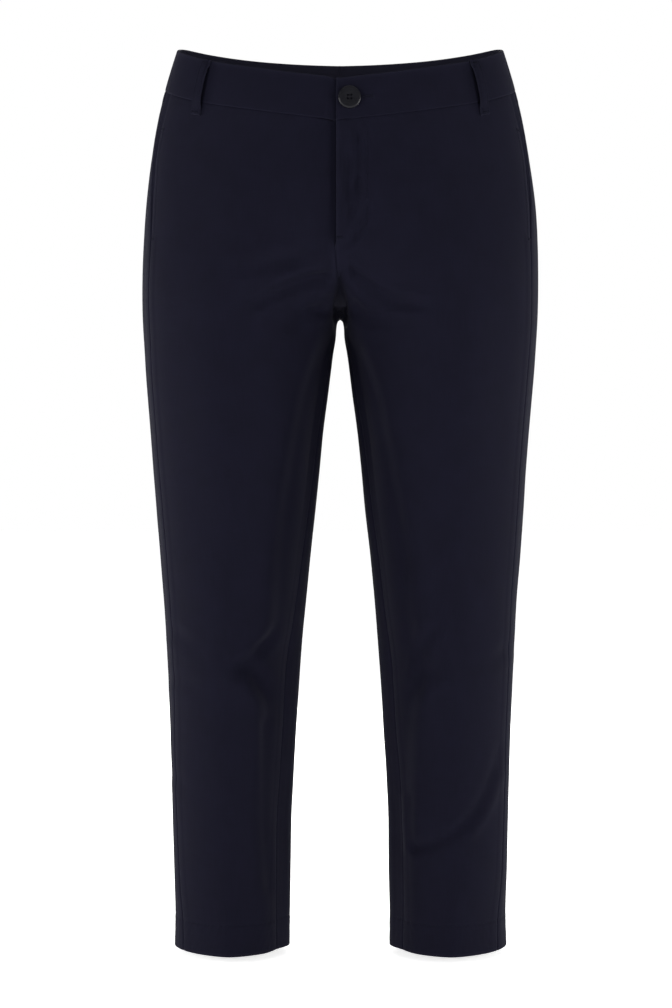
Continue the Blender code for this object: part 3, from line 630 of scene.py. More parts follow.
def backInnerEdge(height):
    above = np.maximum(-angleOfX(cut["halfGap"], height), -np.pi + cut["halfGap"] / shapeOf["back"](height))
    below = inseamAngle(height) - 2 * np.pi
    below = below + cut["halfGap"] / arcSpeed(below, height)
    return np.where(height > cut["crotch"], above, below)


def backOuterEdge(height):
    angle = insetAngle("sideSeam", height)
    return angle - cut["halfGap"] / arcSpeed(angle, height)


def panelLift(kind, side, grid, mouth):
    # the lift of a panel's outer face before its edges are rounded
    angle, height, inner, outer, top, hem = grid.values()
    along = height + 400 * (side + 2)
    plain = surfacePoint(side, angle, height)
    x = plain[..., 0]
    lift = 0.9 * seamLift(top, inner + 90 * side, 5) + seamLift(outer, along, 7) * (1 - mouth)
    sewn = seamLift(inner, along, 9 if kind == "front" else 12) * apartFromCrotch(height)
    if kind == "back":
        near = np.abs(x) - dart["x"] - dart["lean"] * (top - dart["leanFrom"])
        within = ease((dart["length"] - top) / dart["fade"]) * ease(top / 2)
        pinched = bell(near, dart["width"]) - dart["ridge"] * bell(np.abs(near) - dart["ridgeAt"], dart["ridgeWidth"])
        full = bell(near, dart["fullAcross"]) * bell(top - dart["length"] - dart["fullBelow"], dart["fullDown"])
        shaped = dart["fullness"] * full - dart["depth"] * within * pinched
        lift += sewn + np.where(plain[..., 1] > 0, shaped, 0.0)
    elif side > 0:
        folded = ease((height - fly["straightEnd"] + fly["curveDrop"] + 4) / 8)
        lift += sewn * (1 - folded) + flyRelief(x, height) + jGroove(x, height)
    else:
        shown = ease((-height - 44) / 26) * ease((height + 205) / 40)
        lift += sewn * (1 - shown) - shown * fly["rightSink"] * bell(inner, fly["rightReach"], 1.7)
    ripple = sewing["mouthRumple"] * rumple(along, 15, sewing["mouthRipple"]) * bell(outer, sewing["mouthRipple"], 1)
    lift += mouth * (ripple - sewing["mouthGroove"] * bell(outer - panels["mouthStitch"], sewing["stitchWidth"]))
    turned = ease((cut["hemDepth"] - hem) / 1.2)
    turns = (inner + sewing["ropeLean"] * hem) / sewing["ropePitch"]
    rope = np.sin(2 * np.pi * turns + 2 * softNoise(inner, hem, 30, 30, 17 + side))
    lift += sewing["hemProud"] * turned + sewing["hemRope"] * rope * turned * ease(hem / 6)
    fromStitch = hem - sewing["hemStitch"]
    lift -= sewing["hemGroove"] * bell(fromStitch, sewing["stitchWidth"])
    return lift + sewing["hemRumple"] * rumple(inner, 19 + side, sewing["foldRipple"]) * bell(fromStitch, 6, 1)


def makePanel(kind, side, grid, material):
    angle, height, inner, outer, top, hem = grid.values()
    mouth = ease((height - panels["mouthEnd"]) / sewing["edgeEase"]) if kind == "front" else 0.0
    foldedOuter = (kind == "front") & (height > panels["mouthEnd"])
    foldedInner = (kind == "front" and side > 0) & (height > fly["foldEnd"])
    plies = (inner < np.where(foldedInner, sewing["turnedEdge"], cut["seamAllowance"])) | (
        (top < cut["seamAllowance"]) & ~(foldedInner & (inner < cut["seamAllowance"])))
    plies = plies | (outer < np.where(foldedOuter, sewing["turnedEdge"], cut["seamAllowance"]))
    wall = cut["cloth"] * (1 + sewing["secondPly"] * plies + ease(cut["hemDepth"] - hem))
    thickEdge = (hem < 4) | (foldedOuter & (outer < 4)) | (foldedInner & (inner < 4))
    outsideWall = np.where(thickEdge, wall, cut["cloth"])
    sewnInner = ease((fly["foldEnd"] - height) / sewing["edgeEase"]) if kind == "front" and side > 0 else 1.0
    past = sewnInner * bell(inner, 1.2, 1) - (1 - mouth) * bell(outer, 1.2, 1)
    past = past * cut["lap"] / arcSpeed(angle, height) * (1 if kind == "front" else -1)
    base = panelLift(kind, side, grid, mouth)
    drop = edgeRounding(outsideWall, inner + 3 * (1 - apartFromCrotch(height)), outer, top, hem)
    lowered = base - wall + edgeRounding(outsideWall, inner, outer, top, hem)
    wear = wearAt("hem", hem) + mouth * wearAt("mouth", outer) + wearAt("hemFold", hem - cut["hemDepth"], 2)
    if kind == "front" and side > 0:
        wear = wear + wearAt("fly", inner) * ease((height - fly["foldEnd"] + 5) / 10)
    wear = wear + wearAt("seam", outer - 2, 2) + wearAt("seam", inner - 2, 2)
    return clothObject(kind + sideWord[side], surfacePoint(side, angle, height, base - drop),
                       surfacePoint(side, angle + past, height, lowered), clothPlace(-outer, height, side), wear,
                       material)


# The waistband: two halves, seamed at the centre back, the right one running on under the left
band = {
    "wall": 2.6, "leftX": -4.0, "underlap": 32.0, "ramp": 10.0, "step": 3.0, "crown": 0.35,
    "rows": (0.0, 0.12, 0.4, 0.8, 1.3, 2.0, 3.0, 4.5, 7.0, 10.0, 13.0, 16.0, 19.0, 22.0, 25.0, 28.0, 31.0, 33.5,
             35.5, 37.0, 38.2, 39.0, 39.6, 40.1, 40.5, 40.8, 40.92, 41.0),
}


def bandColumns(side):
    height = -cut["bandHeight"]
    start = float(angleAtX(band["leftX"] if side > 0 else -band["underlap"], height))
    samples = np.linspace(start, -float(angleOfX(cut["halfGap"], 0.0)), 900)
    run = runAlong(samples, height)[1]
    ends = edgeSteps[:9]
    middle = np.linspace(ends[-1], run[-1] - ends[-1], int(run[-1] / band["step"]))
    places = np.concatenate([ends, middle[1:-1], run[-1] - ends[::-1]])
    return np.interp(places, run, samples), places, run[-1] - places


def underlapSink(angle):
    x = float(shapeOf["outer"](-cut["bandHeight"])) * np.cos(angle)
    return (band["wall"] + 0.6) * ease((fly["lap"] + band["ramp"] - x) / band["ramp"]) * (angle > 0)


def makeBand(side, material):
    rows = np.array(band["rows"])
    (angle, drop), (front, _), (back, _) = (np.meshgrid(part, rows) for part in bandColumns(side))
    height = waistHeight(angle) - drop
    fromLow = cut["bandHeight"] - drop
    base = cut["bandProud"] + band["crown"] * np.sin(np.pi * drop / cut["bandHeight"])
    base = base + 0.1 * softNoise(front + 300 * side, drop, 30, 22, 29)
    base = base + 0.10 * rumple(front + 250 * side, 33, 10.5) * bell(fromLow, 7, 1)
    base = base - 0.7 * bell(back, 0.9, 1.5) + 0.25 * (ease(back / 2.2) - ease((back - 10) / 2))
    if side < 0:
        base = base - underlapSink(angle)
    drawn = edgeRounding(np.full_like(base, band["wall"]), drop, fromLow, front, back)
    outer = surfacePoint(side, angle, height, base - drawn)
    inner = surfacePoint(side, angle, height, base - band["wall"] + drawn)
    # the lighter line along the band's top fold is partly wear and partly a painted highlight
    wear = wearAt("bandTopWearAndPaintedHighlight", drop - 1.0) + wearAt("bandLow", fromLow) + wearAt("bandFront", front)
    return clothObject("waistband" + sideWord[side], outer, inner, clothPlace(front, height, side), wear, material)


def meetHeights(angleAt, heightAt, shape):
    # a strip whose angles depend on its heights, and its top on its angles
    height = np.full(shape, -50.0)
    for _ in range(6):
        angle = angleAt(height)
        height = heightAt(angle)
    return angle, height


# The facings behind the pockets' mouths
facing = {"tuck": 8.0, "reach": 36.0, "end": -200.0, "lift": -2.35, "wall": 0.95, "columns": 40, "rows": 70,
          "underBand": 2.4, "openFrom": 4.0, "openOver": 3.0}


def makePocketFacing(side, material):
    share, down = np.meshgrid(np.linspace(0, 1, facing["columns"]) ** 1.5, np.linspace(0, 1, facing["rows"]))

    def openWidth(height):
        inSeam, inMouth = (insetAngle(edge, height) for edge in ("sideSeam", "mouth"))
        return (inMouth - inSeam) * arcSpeed(inSeam, height)

    def angleAt(height):
        start, end = (insetAngle(edge, height) for edge in ("sideSeam", "mouth"))
        tuck = facing["tuck"] * (1 - ease((openWidth(height) - facing["openFrom"]) / facing["openOver"])) - 0.05
        start = start - tuck / arcSpeed(start, height)
        end = end + facing["reach"] / arcSpeed(end, height)
        return start + (end - start) * share

    def heightAt(angle):
        top = seamHeight(angle) + facing["underBand"]
        return top + (facing["end"] - top) * down

    angle, height = meetHeights(angleAt, heightAt, share.shape)
    width = openWidth(height)
    seam = insetAngle("sideSeam", height)
    run = (angle - seam) * arcSpeed(seam, height)
    rise = ease((width - facing["openFrom"]) / facing["openOver"])
    rise = rise * (1 - ease(run / np.maximum(width - 1.5, 3.0)))
    lift = facing["lift"] * (1 - rise) + 0.12 * rumple(height, 41 + side, 12.0)
    lift = lift + (seamLift(np.maximum(run, 0), height + 400, 7) - 0.3) * rise
    outer, inner = (surfacePoint(side, angle, height, lift - wall) for wall in (0.0, facing["wall"]))
    place = clothPlace(share * (facing["reach"] + facing["tuck"] + 5), height, side)
    return clothObject("pocketFacing" + sideWord[side], outer, inner, place, 0 * share, material)


def jBottom(x):
    share = np.clip((x + fly["lap"]) / (fly["stitchX"] + fly["lap"]), 0.0, 1.0)
    return fly["straightEnd"] - fly["curveDrop"] * np.sqrt(1 - share**2)


# Strips behind the fly: places across, the lift at each, the wall, and where the strip ends
flyStrips = {
    "flyFacing": {"x": (-4.1, 2.0, 9.0, 16.0, 21.0, 24.0, fly["stitchX"]), "lift": (facing["lift"],) * 7,
                  "wall": facing["wall"], "bottom": jBottom, "topDrop": -facing["underBand"], "relief": 1.0},
    "zipTape": {"x": (-11.0, -4.5, -1.6, -1.0, 3.0, 3.6, 7.5, 15.0),
                "lift": (-7.0, -8.2, -8.2, -8.2, -8.2, -8.2, -7.6, -5.6),
                "wall": 0.6, "bottom": lambda x: -174.0 + 0 * x, "topDrop": 8.0, "relief": 0.0},
    "flyShield": {"x": (-25.0, -19.0, -12.0, -5.0, 5.0, 15.0, 24.0, 31.0),
                  "lift": (-3.2, -5.6, -9.2, -10.9, -10.9, -10.2, -7.8, -6.2),
                  "wall": 1.1, "bottom": lambda x: -192.0 + 0.25 * (x + 25), "topDrop": 0.0, "relief": 0.0},
}


def makeFlyStrip(name, material, count=40, rows=70):
    strip = flyStrips[name]
    stations = len(strip["x"])
    x = np.interp(np.linspace(0, 1, count), np.linspace(0, 1, stations), strip["x"])
    x, down = np.meshgrid(x, np.linspace(0, 1, rows))
    bottom = strip["bottom"](x)

    def heightAt(angle):
        top = seamHeight(angle) - strip["topDrop"]
        return top + (bottom - top) * down

    angle, height = meetHeights(lambda height: angleAtX(x, height), heightAt, x.shape)
    lift = np.interp(x, strip["x"], strip["lift"]) + strip["relief"] * flyRelief(x, height)
    outer, inner = (surfacePoint(1, angle, height, lift - wall) for wall in (0.0, strip["wall"]))
    return clothObject(name, outer, inner, clothPlace(x, height, 1), 0 * x, material)


# Belt loops: folded strips, bar tacked at the top and the bottom. Each has its CAD node and its turn in degrees
# from the centre front, and a section of distance down from the band's top, and lift of both faces
beltLoops = {
    "FrontLeft": ("belt_loop_front_left", 48.0), "BackLeft": ("belt_loop_back_left", 131.0),
    "CentreBack": ("belt_loop_centre_back", 180.0), "BackRight": ("belt_loop_back_right", -131.0),
    "FrontRight": ("belt_loop_front_right", -48.0),
}
loopCut = {
    "width": 10.0, "rows": 60, "stitchInset": 1.7, "stitchGroove": 0.32, "tackGroove": 0.35,
    "section": ((0.3, 0.9, 3.3), (5.5, 0.9, 3.7), (9, 2.7, 4.4), (15, 3.7, 5.3), (25, 4.1, 5.7),
                (36, 3.7, 5.3), (43, 2.5, 4.2), (47.5, 0.6, 3.2), (54, 0.5, 2.8)),
}
loopInner, loopOuter = (curveThrough(loopCut["section"], column) for column in (1, 2))
loopStart, loopEnd = (loopCut["section"][k][0] for k in (0, -1))
loopTackPlaces = (3.4, loopEnd - 2.6)


def halfAndAngle(turn):
    turn = (np.asarray(turn, float) + 180) % 360 - 180
    return np.where(turn >= 0, 1.0, -1.0), np.radians(90 - np.abs(turn))


def loopPoint(turn, across, down, lift):
    # a point on a belt loop: across from its middle line, down from the band's top, and its lift
    _, middle = halfAndAngle(turn)
    level = waistHeight(middle) - cut["bandHeight"] / 2
    side, angle = halfAndAngle(turn + np.degrees(across / arcSpeed(middle, level)))
    return surfacePoint(side, angle, waistHeight(angle) - down, lift)


def makeBeltLoop(name, turn, material):
    half = loopCut["width"] / 2
    steps = np.array([0.0, 0.08, 0.25, 0.5, 0.85, 1.25, 1.7, 2.2, 2.9, 4.0])
    ends = np.array([0.0, 0.08, 0.25, 0.5, 0.8, 1.2])
    across, down = np.meshgrid(
        np.concatenate([-half + steps, [0.0], half - steps[::-1]]),
        np.concatenate([loopStart + ends, np.linspace(loopStart + 2, loopEnd - 2, loopCut["rows"]),
                        loopEnd - ends[::-1]]))
    fromEdge = half - np.abs(across)
    base = loopOuter(down) - loopCut["stitchGroove"] * bell(fromEdge - loopCut["stitchInset"], 0.5)
    base = base + 0.15 * bell(across, 1.6) + 0.06 * rumple(down + 40 * turn, 51, 5.0)
    for tack in loopTackPlaces:
        base = base - loopCut["tackGroove"] * bell(down - tack, sewing["stitchWidth"])
    wall = np.minimum(loopOuter(down) - loopInner(down), 1.6)
    drawn = edgeRounding(wall, fromEdge, down - loopStart, loopEnd - down)
    outer, inner = (loopPoint(turn, across, down, lift) for lift in (base - drawn, loopInner(down) + drawn))
    wear = wearAt("loopSide", fromEdge) + wearAt("loopEnd", loopEnd - down)
    return clothObject("beltLoop" + name, outer, inner, np.stack([across + 40 * turn, down], axis=-1), wear, material)


# Materials. Weave, worn edges and the cloudiness of the dye are node groups that each material places. Each cloth's
# inside face is painted lighter, as painted light, and the worn line along the waistband's top is partly a painted
# highlight
def setInputs(tree, node, values):
    # links a socket or sets a plain value, by the name or the number of each input
    for key, value in values.items():
        if isinstance(value, bpy.types.NodeSocket):
            tree.links.new(value, node.inputs[key])
        elif node.inputs[key].type == "RGBA":
            node.inputs[key].default_value = (*value[:3], 1)
        else:
            node.inputs[key].default_value = value
    return node


def addNode(tree, kind, values, **settings):
    node = tree.nodes.new("ShaderNode" + kind)
    for key, value in settings.items():
        setattr(node, key, value)
    return setInputs(tree, node, values)


def calculate(tree, operation, *values):
    return addNode(tree, "Math", dict(enumerate(values)), operation=operation).outputs[0]


def noiseNode(tree, place, scale, detail, roughness=0.5, dimensions="2D"):
    values = {"Vector": place, "Scale": scale, "Detail": detail, "Roughness": roughness}
    return addNode(tree, "TexNoise", values, noise_dimensions=dimensions).outputs["Fac"]


def mixed(tree, share, first, second):
    values = {0: share, 6: first, 7: second}
    return addNode(tree, "Mix", values, data_type="RGBA", clamp_factor=True).outputs[2]


def bumpNode(tree, height, strength, distance):
    return addNode(tree, "Bump", {"Height": height, "Strength": strength, "Distance": distance}).outputs[0]


def newMaterial(name):
    material = bpy.data.materials.new(name)
    material.use_nodes = True
    return material, material.node_tree, material.node_tree.nodes["Principled BSDF"]


def newGroup(name, inputs, outputs):
    # each input has its kind and first value
    group = bpy.data.node_groups.new(name, "ShaderNodeTree")
    for key, (kind, value) in inputs.items():
        socket = group.interface.new_socket(key, in_out="INPUT", socket_type="NodeSocket" + kind)
        if value is not None:
            socket.default_value = value
    for key, kind in outputs.items():
        group.interface.new_socket(key, in_out="OUTPUT", socket_type="NodeSocket" + kind)
    return group, group.nodes.new("NodeGroupInput").outputs, group.nodes.new("NodeGroupOutput")


def buildWeaveGroup():
    group, given, end = newGroup(
        "twillWeave", {"Place": ("Vector", None), "Pitch": ("Float", 0.0008), "Slub": ("Float", 0.4)},
        {"Height": "Float", "Thread": "Float", "Cloud": "Float"})
    place, pitch = given["Place"], given["Pitch"]
    split = addNode(group, "SeparateXYZ", {"Vector": place}).outputs
    shake = calculate(group, "MULTIPLY", noiseNode(group, place, 160.0, 2.0), 0.0009)
    diagonal = calculate(group, "ADD", calculate(group, "ADD", split["X"], shake),
                         calculate(group, "MULTIPLY", split["Y"], 0.9))
    wale, yarn = (calculate(group, "SINE", calculate(group, "MULTIPLY", calculate(group, "DIVIDE", run, pitch), turns))
                  for run, turns in ((diagonal, 2 * math.pi), (split["Y"], 4 * math.pi)))
    height = calculate(group, "ADD", calculate(group, "MULTIPLY_ADD", wale, 0.32, 0.5),
                       calculate(group, "MULTIPLY", yarn, 0.12))
    warp, weft = (
        noiseNode(group, addNode(group, "Mapping", {"Vector": place, "Scale": stretch}).outputs[0], scale, detail, 0.6)
        for stretch, scale, detail in (((1.0, 0.045, 1.0), 900.0, 3.0), ((0.06, 1.0, 1.0), 700.0, 2.0)))
    warp, weft = calculate(group, "MULTIPLY", warp, 0.62), calculate(group, "MULTIPLY", weft, 0.38)
    threads = calculate(group, "ADD", warp, weft)
    blend = addNode(group, "Mix", {0: given["Slub"], 2: height, 3: threads}, data_type="FLOAT").outputs[0]
    cloud = noiseNode(group, place, 38.0, 4.0, 0.55)
    setInputs(group, end, {"Height": blend, "Thread": threads, "Cloud": cloud})
    return group


def buildWearGroup():
    group, given, end = newGroup("wornEdge", {
        "Color": ("Color", (0.01, 0.01, 0.02, 1.0)), "Worn": ("Color", (0.03, 0.03, 0.05, 1.0)),
        "Wear": ("Float", 0.0), "Place": ("Vector", None), "Amount": ("Float", 0.6),
    }, {"Color": "Color", "Mask": "Float"})
    patchy = calculate(group, "MULTIPLY_ADD", noiseNode(group, given["Place"], 420.0, 3.0, 0.65), 1.3, -0.1)
    mask = calculate(group, "MULTIPLY", calculate(group, "MULTIPLY", given["Wear"], patchy), given["Amount"])
    setInputs(group, end, {"Color": mixed(group, mask, given["Color"], given["Worn"]), "Mask": mask})
    return group


weaveGroup, wearGroup = buildWeaveGroup(), buildWearGroup()

cloths = {
    # each cloth's reverse colour is mixed onto its inside face. The twill's is about three times lighter than its
    # face, as painted light for the shaded inside. The zip tape's is its own tone
    "navyTwill": {"dark": (0.0035, 0.0034, 0.0080), "light": (0.0060, 0.0058, 0.0128), "worn": (0.016, 0.016, 0.029),
                  "reverseFaceAndPaintedLight": (0.0185, 0.0180, 0.0300), "reverseFaceAndPaintedLightShare": 0.85,
                  "pitch": 0.0009, "slub": 0.4, "bump": 0.5, "rough": 0.86, "specular": 0.05, "sheen": 0.015,
                  "sheenRough": 0.4, "sheenTint": (0.7, 0.7, 1.0)},
    "zipTape": {"dark": (0.006, 0.006, 0.011), "light": (0.011, 0.011, 0.018), "worn": (0.02, 0.02, 0.03),
                "reverseFaceAndPaintedLight": (0.008, 0.008, 0.013), "reverseFaceAndPaintedLightShare": 0.5,
                "pitch": 0.0012, "slub": 0.25, "bump": 0.3, "rough": 0.8, "specular": 0.2, "sheen": 0.02,
                "sheenRough": 0.5, "sheenTint": (0.7, 0.7, 1.0)},
}
hardFinishes = {
    "darkButton": {"colour": (0.0062, 0.0062, 0.0078), "speck": (0.0125, 0.0125, 0.015), "rough": 0.22, "metal": 0.0,
                   "specular": 0.16, "scale": 900.0, "bump": 0.06},
    "zipMetal": {"colour": (0.16, 0.15, 0.14), "speck": (0.25, 0.235, 0.21), "rough": 0.34, "metal": 1.0,
                 "specular": 0.5, "scale": 2200.0, "bump": 0.1},
    "navyThread": {"colour": (0.0030, 0.0030, 0.0076), "speck": (0.0056, 0.0056, 0.0124), "rough": 0.8, "metal": 0.0,
                   "specular": 0.08, "scale": 5200.0, "bump": 0.25},
}


def clothMaterial(name):
    look = cloths[name]
    material, tree, shader = newMaterial(name)
    place = addNode(tree, "UVMap", {}, uv_map="cloth").outputs[0]
    wear, reverseFaceAndPaintedLight = (addNode(tree, "Attribute", {}, attribute_name=key).outputs["Fac"] for key in ("wear", "reverseFaceAndPaintedLight"))
    weave = addNode(tree, "Group", {"Place": place, "Pitch": look["pitch"], "Slub": look["slub"]},
                    node_tree=weaveGroup).outputs
    tone = calculate(tree, "ADD", calculate(tree, "MULTIPLY", weave["Cloud"], 0.7),
                     calculate(tree, "MULTIPLY_ADD", weave["Thread"], 1.1, -0.6))
    tone = calculate(tree, "ADD", tone, calculate(tree, "MULTIPLY", weave["Height"], 0.4))
    dye = mixed(tree, tone, look["dark"], look["light"])
    # painted light: the inside face is mixed towards the lighter reverse colour
    turned = mixed(tree, calculate(tree, "MULTIPLY", reverseFaceAndPaintedLight, look["reverseFaceAndPaintedLightShare"]), dye, look["reverseFaceAndPaintedLight"])
    given = {"Color": turned, "Worn": look["worn"], "Wear": wear, "Place": place, "Amount": 0.6}
    worn = addNode(tree, "Group", given, node_tree=wearGroup).outputs
    setInputs(tree, shader, {
        "Base Color": worn["Color"],
        "Roughness": calculate(tree, "MULTIPLY_ADD", weave["Cloud"], 0.12, look["rough"] - 0.06),
        "Normal": bumpNode(tree, weave["Height"], look["bump"], 0.00018),
        "Specular IOR Level": look["specular"], "Sheen Weight": look["sheen"],
        "Sheen Roughness": look["sheenRough"], "Sheen Tint": look["sheenTint"],
    })
    return material


def hardMaterial(name):
    look = hardFinishes[name]
    material, tree, shader = newMaterial(name)
    place = addNode(tree, "TexCoord", {}).outputs["Object"]
    grain = noiseNode(tree, place, look["scale"], 4.0, dimensions="3D")
    setInputs(tree, shader, {
        "Base Color": mixed(tree, grain, look["colour"], look["speck"]),
        "Roughness": calculate(tree, "MULTIPLY_ADD", grain, 0.16, look["rough"] - 0.08),
        "Normal": bumpNode(tree, grain, look["bump"], 0.0001),
        "Metallic": look["metal"], "Specular IOR Level": look["specular"],
    })
    return material


twill, tape = clothMaterial("navyTwill"), clothMaterial("zipTape")
thread, buttonHorn, zipMetal = hardMaterial("navyThread"), hardMaterial("darkButton"), hardMaterial("zipMetal")
print("materials ready")

# Cloth pieces
backGrid = panelGrid("back", backInnerEdge, backOuterEdge)
for side, word in ((1, "left"), (-1, "right")):
    frontGrid = panelGrid("front", frontInnerEdge(side), frontOuterEdge)
    finishPiece(makePanel("front", side, frontGrid, twill), "navy_twill", "front_" + word)
    finishPiece(makePanel("back", side, backGrid, twill), "navy_twill", "back_" + word)
    finishPiece(makeBand(side, twill), "navy_twill", "waistband_" + word)
    finishPiece(makePocketFacing(side, twill), "navy_twill", "pocket_facing_" + word)
print("panels, waistband and pocket facings made")

finishPiece(makeFlyStrip("flyFacing", twill), "navy_twill", "fly_facing")
finishPiece(makeFlyStrip("zipTape", tape), "zip_tape", "zip")
finishPiece(makeFlyStrip("flyShield", twill), "navy_twill", "fly_shield")
for name, (node, turn) in beltLoops.items():
    finishPiece(makeBeltLoop(name, turn, twill), "navy_twill", node)
print("fly and belt loops made")

# Stitching: one stitch is modelled, then laid along each line on the cloth it holds
stitch = {"length": 2.5, "radius": 0.23, "sides": 6, "lift": 0.07}


def editSelected(test, kind="VERT"):
    # selects the vertices of the edited mesh that pass a test on their place
    mesh = bpy.context.object.data
    bpy.ops.object.mode_set(mode="OBJECT")
    for part in (mesh.polygons, mesh.edges):
        part.foreach_set("select", [False] * len(part))
    for vertex in mesh.vertices:
        vertex.select = bool(test(vertex.co))
    bpy.ops.object.mode_set(mode="EDIT")
    bpy.ops.mesh.select_mode(type="VERT")
    if kind == "FACE":
        bpy.ops.mesh.select_mode(type="FACE")


def takeModel():
    # leaves edit mode and gives the model's points and faces, for copies
    bpy.ops.object.mode_set(mode="OBJECT")
    model = bpy.context.object
    points = np.array([vertex.co for vertex in model.data.vertices]) / mm
    faces = [tuple(face.vertices) for face in model.data.polygons]
    bpy.data.objects.remove(model, do_unlink=True)
    return points, faces


def modelStitch():
    half = stitch["length"] * mm / 2
    bpy.ops.object.select_all(action="DESELECT")
    bpy.ops.mesh.primitive_cylinder_add(vertices=stitch["sides"], radius=stitch["radius"] * mm, depth=2 * half,
                                        rotation=(0, math.radians(90), 0))
    bpy.ops.object.transform_apply(rotation=True)
    bpy.ops.object.mode_set(mode="EDIT")
    for share in (-0.62, 0.0, 0.62):
        bpy.ops.mesh.select_all(action="SELECT")
        bpy.ops.mesh.bisect(plane_co=(share * half, 0, 0), plane_no=(1, 0, 0))
    editSelected(lambda co: abs(co.x) > 0.95 * half)
    bpy.ops.transform.resize(value=(1, 0.55, 0.55))
    bpy.ops.transform.translate(value=(0, 0, -0.3 * mm))
    editSelected(lambda co: abs(co.x) < 0.1 * half)
    bpy.ops.transform.translate(value=(0, 0, 0.05 * mm))
    return takeModel()


stitchModel = modelStitch()


def joinCopies(name, model, places, ahead, out, size, material, slot="navy_twill"):
    # one mesh of many copies, each with its length along ahead and its top towards out
    points, faces = model
    ahead = ahead - out * np.sum(ahead * out, axis=1, keepdims=True)
    ahead /= np.linalg.norm(ahead, axis=1, keepdims=True)
    beside = np.cross(out, ahead)
    shaped = points[None] * size[:, None, :]
    verts = (places[:, None] + shaped[..., :1] * ahead[:, None] + shaped[..., 1:2] * beside[:, None]
             + shaped[..., 2:] * out[:, None])
    allFaces = [tuple(v + k * len(points) for v in face) for k in range(len(places)) for face in faces]
    return finishPiece(addMesh(name, verts.reshape(-1, 3), allFaces, material, 60), slot)


def treeOf(name):
    mesh = bpy.data.objects[name].data
    faces = [face.vertices for face in mesh.polygons]
    return BVHTree.FromPolygons([vertex.co / mm for vertex in mesh.vertices], faces)


def seatOn(tree, points):
    # the nearest places on the cloth, and the way out of it there
    found = [tree.find_nearest(Vector(point)) for point in points]
    return np.array([hit[0] for hit in found]), np.array([hit[1] for hit in found])


def evenly(points, pitch):
    # places at even steps along a line, and the way ahead at each
    run = np.concatenate([[0], np.cumsum(np.linalg.norm(np.diff(points, axis=0), axis=1))])
    count = max(2, int(run[-1] / pitch))
    at = (np.arange(count) + 0.5) * run[-1] / count
    spaced, after, before = (np.stack([np.interp(at + step, run, points[:, k]) for k in range(3)], axis=1)
                             for step in (0.0, 0.4, -0.4))
    return spaced, after - before


def sewLines(name, lines, tree, pitch=3.1, length=1.0, thick=1.0):
    rows = []
    for line in lines:
        spaced, ahead = evenly(line, pitch)
        seats, out = seatOn(tree, spaced)
        rows.append((seats + out * stitch["lift"], ahead, out, np.tile([length, thick, thick], (len(seats), 1))))
    return sewTacks(name, rows)


def sewTacks(name, tacks):
    return joinCopies(name, stitchModel, *(np.concatenate([tack[k] for tack in tacks]) for k in range(4)), thread)


def barTack(centre, along, tree, width=6.0, rows=9, reach=1.5):
    # a short dense bar: its stitches lie across the line of the bar
    centre, along = np.asarray(centre, float), np.asarray(along, float)
    along = along / np.linalg.norm(along)
    across = np.cross(seatOn(tree, [centre])[1][0], along)
    places, outs = seatOn(tree, centre + along * np.linspace(-width / 2, width / 2, rows)[:, None])
    size = [reach / stitch["length"] * 1.6, 1.25, 1.1]
    return places + outs * (stitch["lift"] + 0.12), np.tile(across, (rows, 1)), outs, np.tile(size, (rows, 1))


trees = {(kind, side): treeOf(kind + word) for kind in ("front", "back", "waistband")
         for side, word in sideWord.items()}

jX, jZ = jLine(160)
jPoints = surfacePoint(1, angleAtX(jX, jZ), jZ, 1.0)
below = jZ < float(seamHeight(angleAtX(fly["stitchX"], -70.0))) - 1.0
sewLines("stitchesFly", [jPoints[below]], trees["front", 1])

tacks = []
for side, word in sideWord.items():
    z = np.linspace(-64.0, panels["mouthEnd"] + 2, 80)
    edge = frontOuterEdge(z)
    mouthLine = surfacePoint(side, edge + panels["mouthStitch"] / arcSpeed(edge, z), z, 1.0)
    sewLines("stitchesPocket" + word, [mouthLine], trees["front", side])
    for z in (panels["mouthEnd"] + 1.0, -66.0):
        edge = float(frontOuterEdge(z))
        here, there = surfacePoint(side, np.array([edge, edge + 3.0 / float(arcSpeed(edge, z))]), z, 1.0)
        tacks.append(barTack(there, there - here, trees["front", side]))
    level = np.full(140, cut["hem"] + sewing["hemStitch"])
    for kind, start, end in (("front", frontInnerEdge(side), frontOuterEdge), ("back", backInnerEdge, backOuterEdge)):
        angles = np.linspace(float(start(level[:1])[0]), float(end(level[:1])[0]), 140)
        sewLines("stitchesHem" + kind.capitalize() + word, [surfacePoint(side, angles, level, 1.0)],
                 trees[kind, side], 4.2, 0.95, 0.85)
tacks.append(barTack(surfacePoint(1, angleAtX(-0.6, -181.0), -181.0, 1.0), (1, 0, 0.1), trees["front", 1]))
sewTacks("barTacksFront", tacks)

tacks = []
inset = loopCut["width"] / 2 - loopCut["stitchInset"]
down = np.linspace(4.6, loopEnd - 3.6, 60)
for name, (_, turn) in beltLoops.items():
    loopTree = treeOf("beltLoop" + name)
    lines = [loopPoint(turn, side * inset + 0 * down, down, loopOuter(down) + 1.0) for side in (1, -1)]
    sewLines("stitchesLoop" + name, lines, loopTree, 2.5, 0.8, 0.8)
    for tackDown in loopTackPlaces:
        here, there = loopPoint(turn, np.array([-1.0, 0.0]), np.full(2, tackDown), float(loopOuter(tackDown)) + 1.0)
        tacks.append(barTack(there, there - here, loopTree, width=7.6, rows=11, reach=1.3))
sewTacks("barTacksLoops", tacks)
for side, word in sideWord.items():
    angles, fromFront, _ = bandColumns(side)
    angles = angles[fromFront > (3 if side > 0 else 46)]
    line = surfacePoint(side, angles, waistHeight(angles) - cut["bandHeight"] + 2.6, -4.0)
    sewLines("stitchesBand" + word, [line], trees["waistband", side], 3.6)
print("stitching laid")

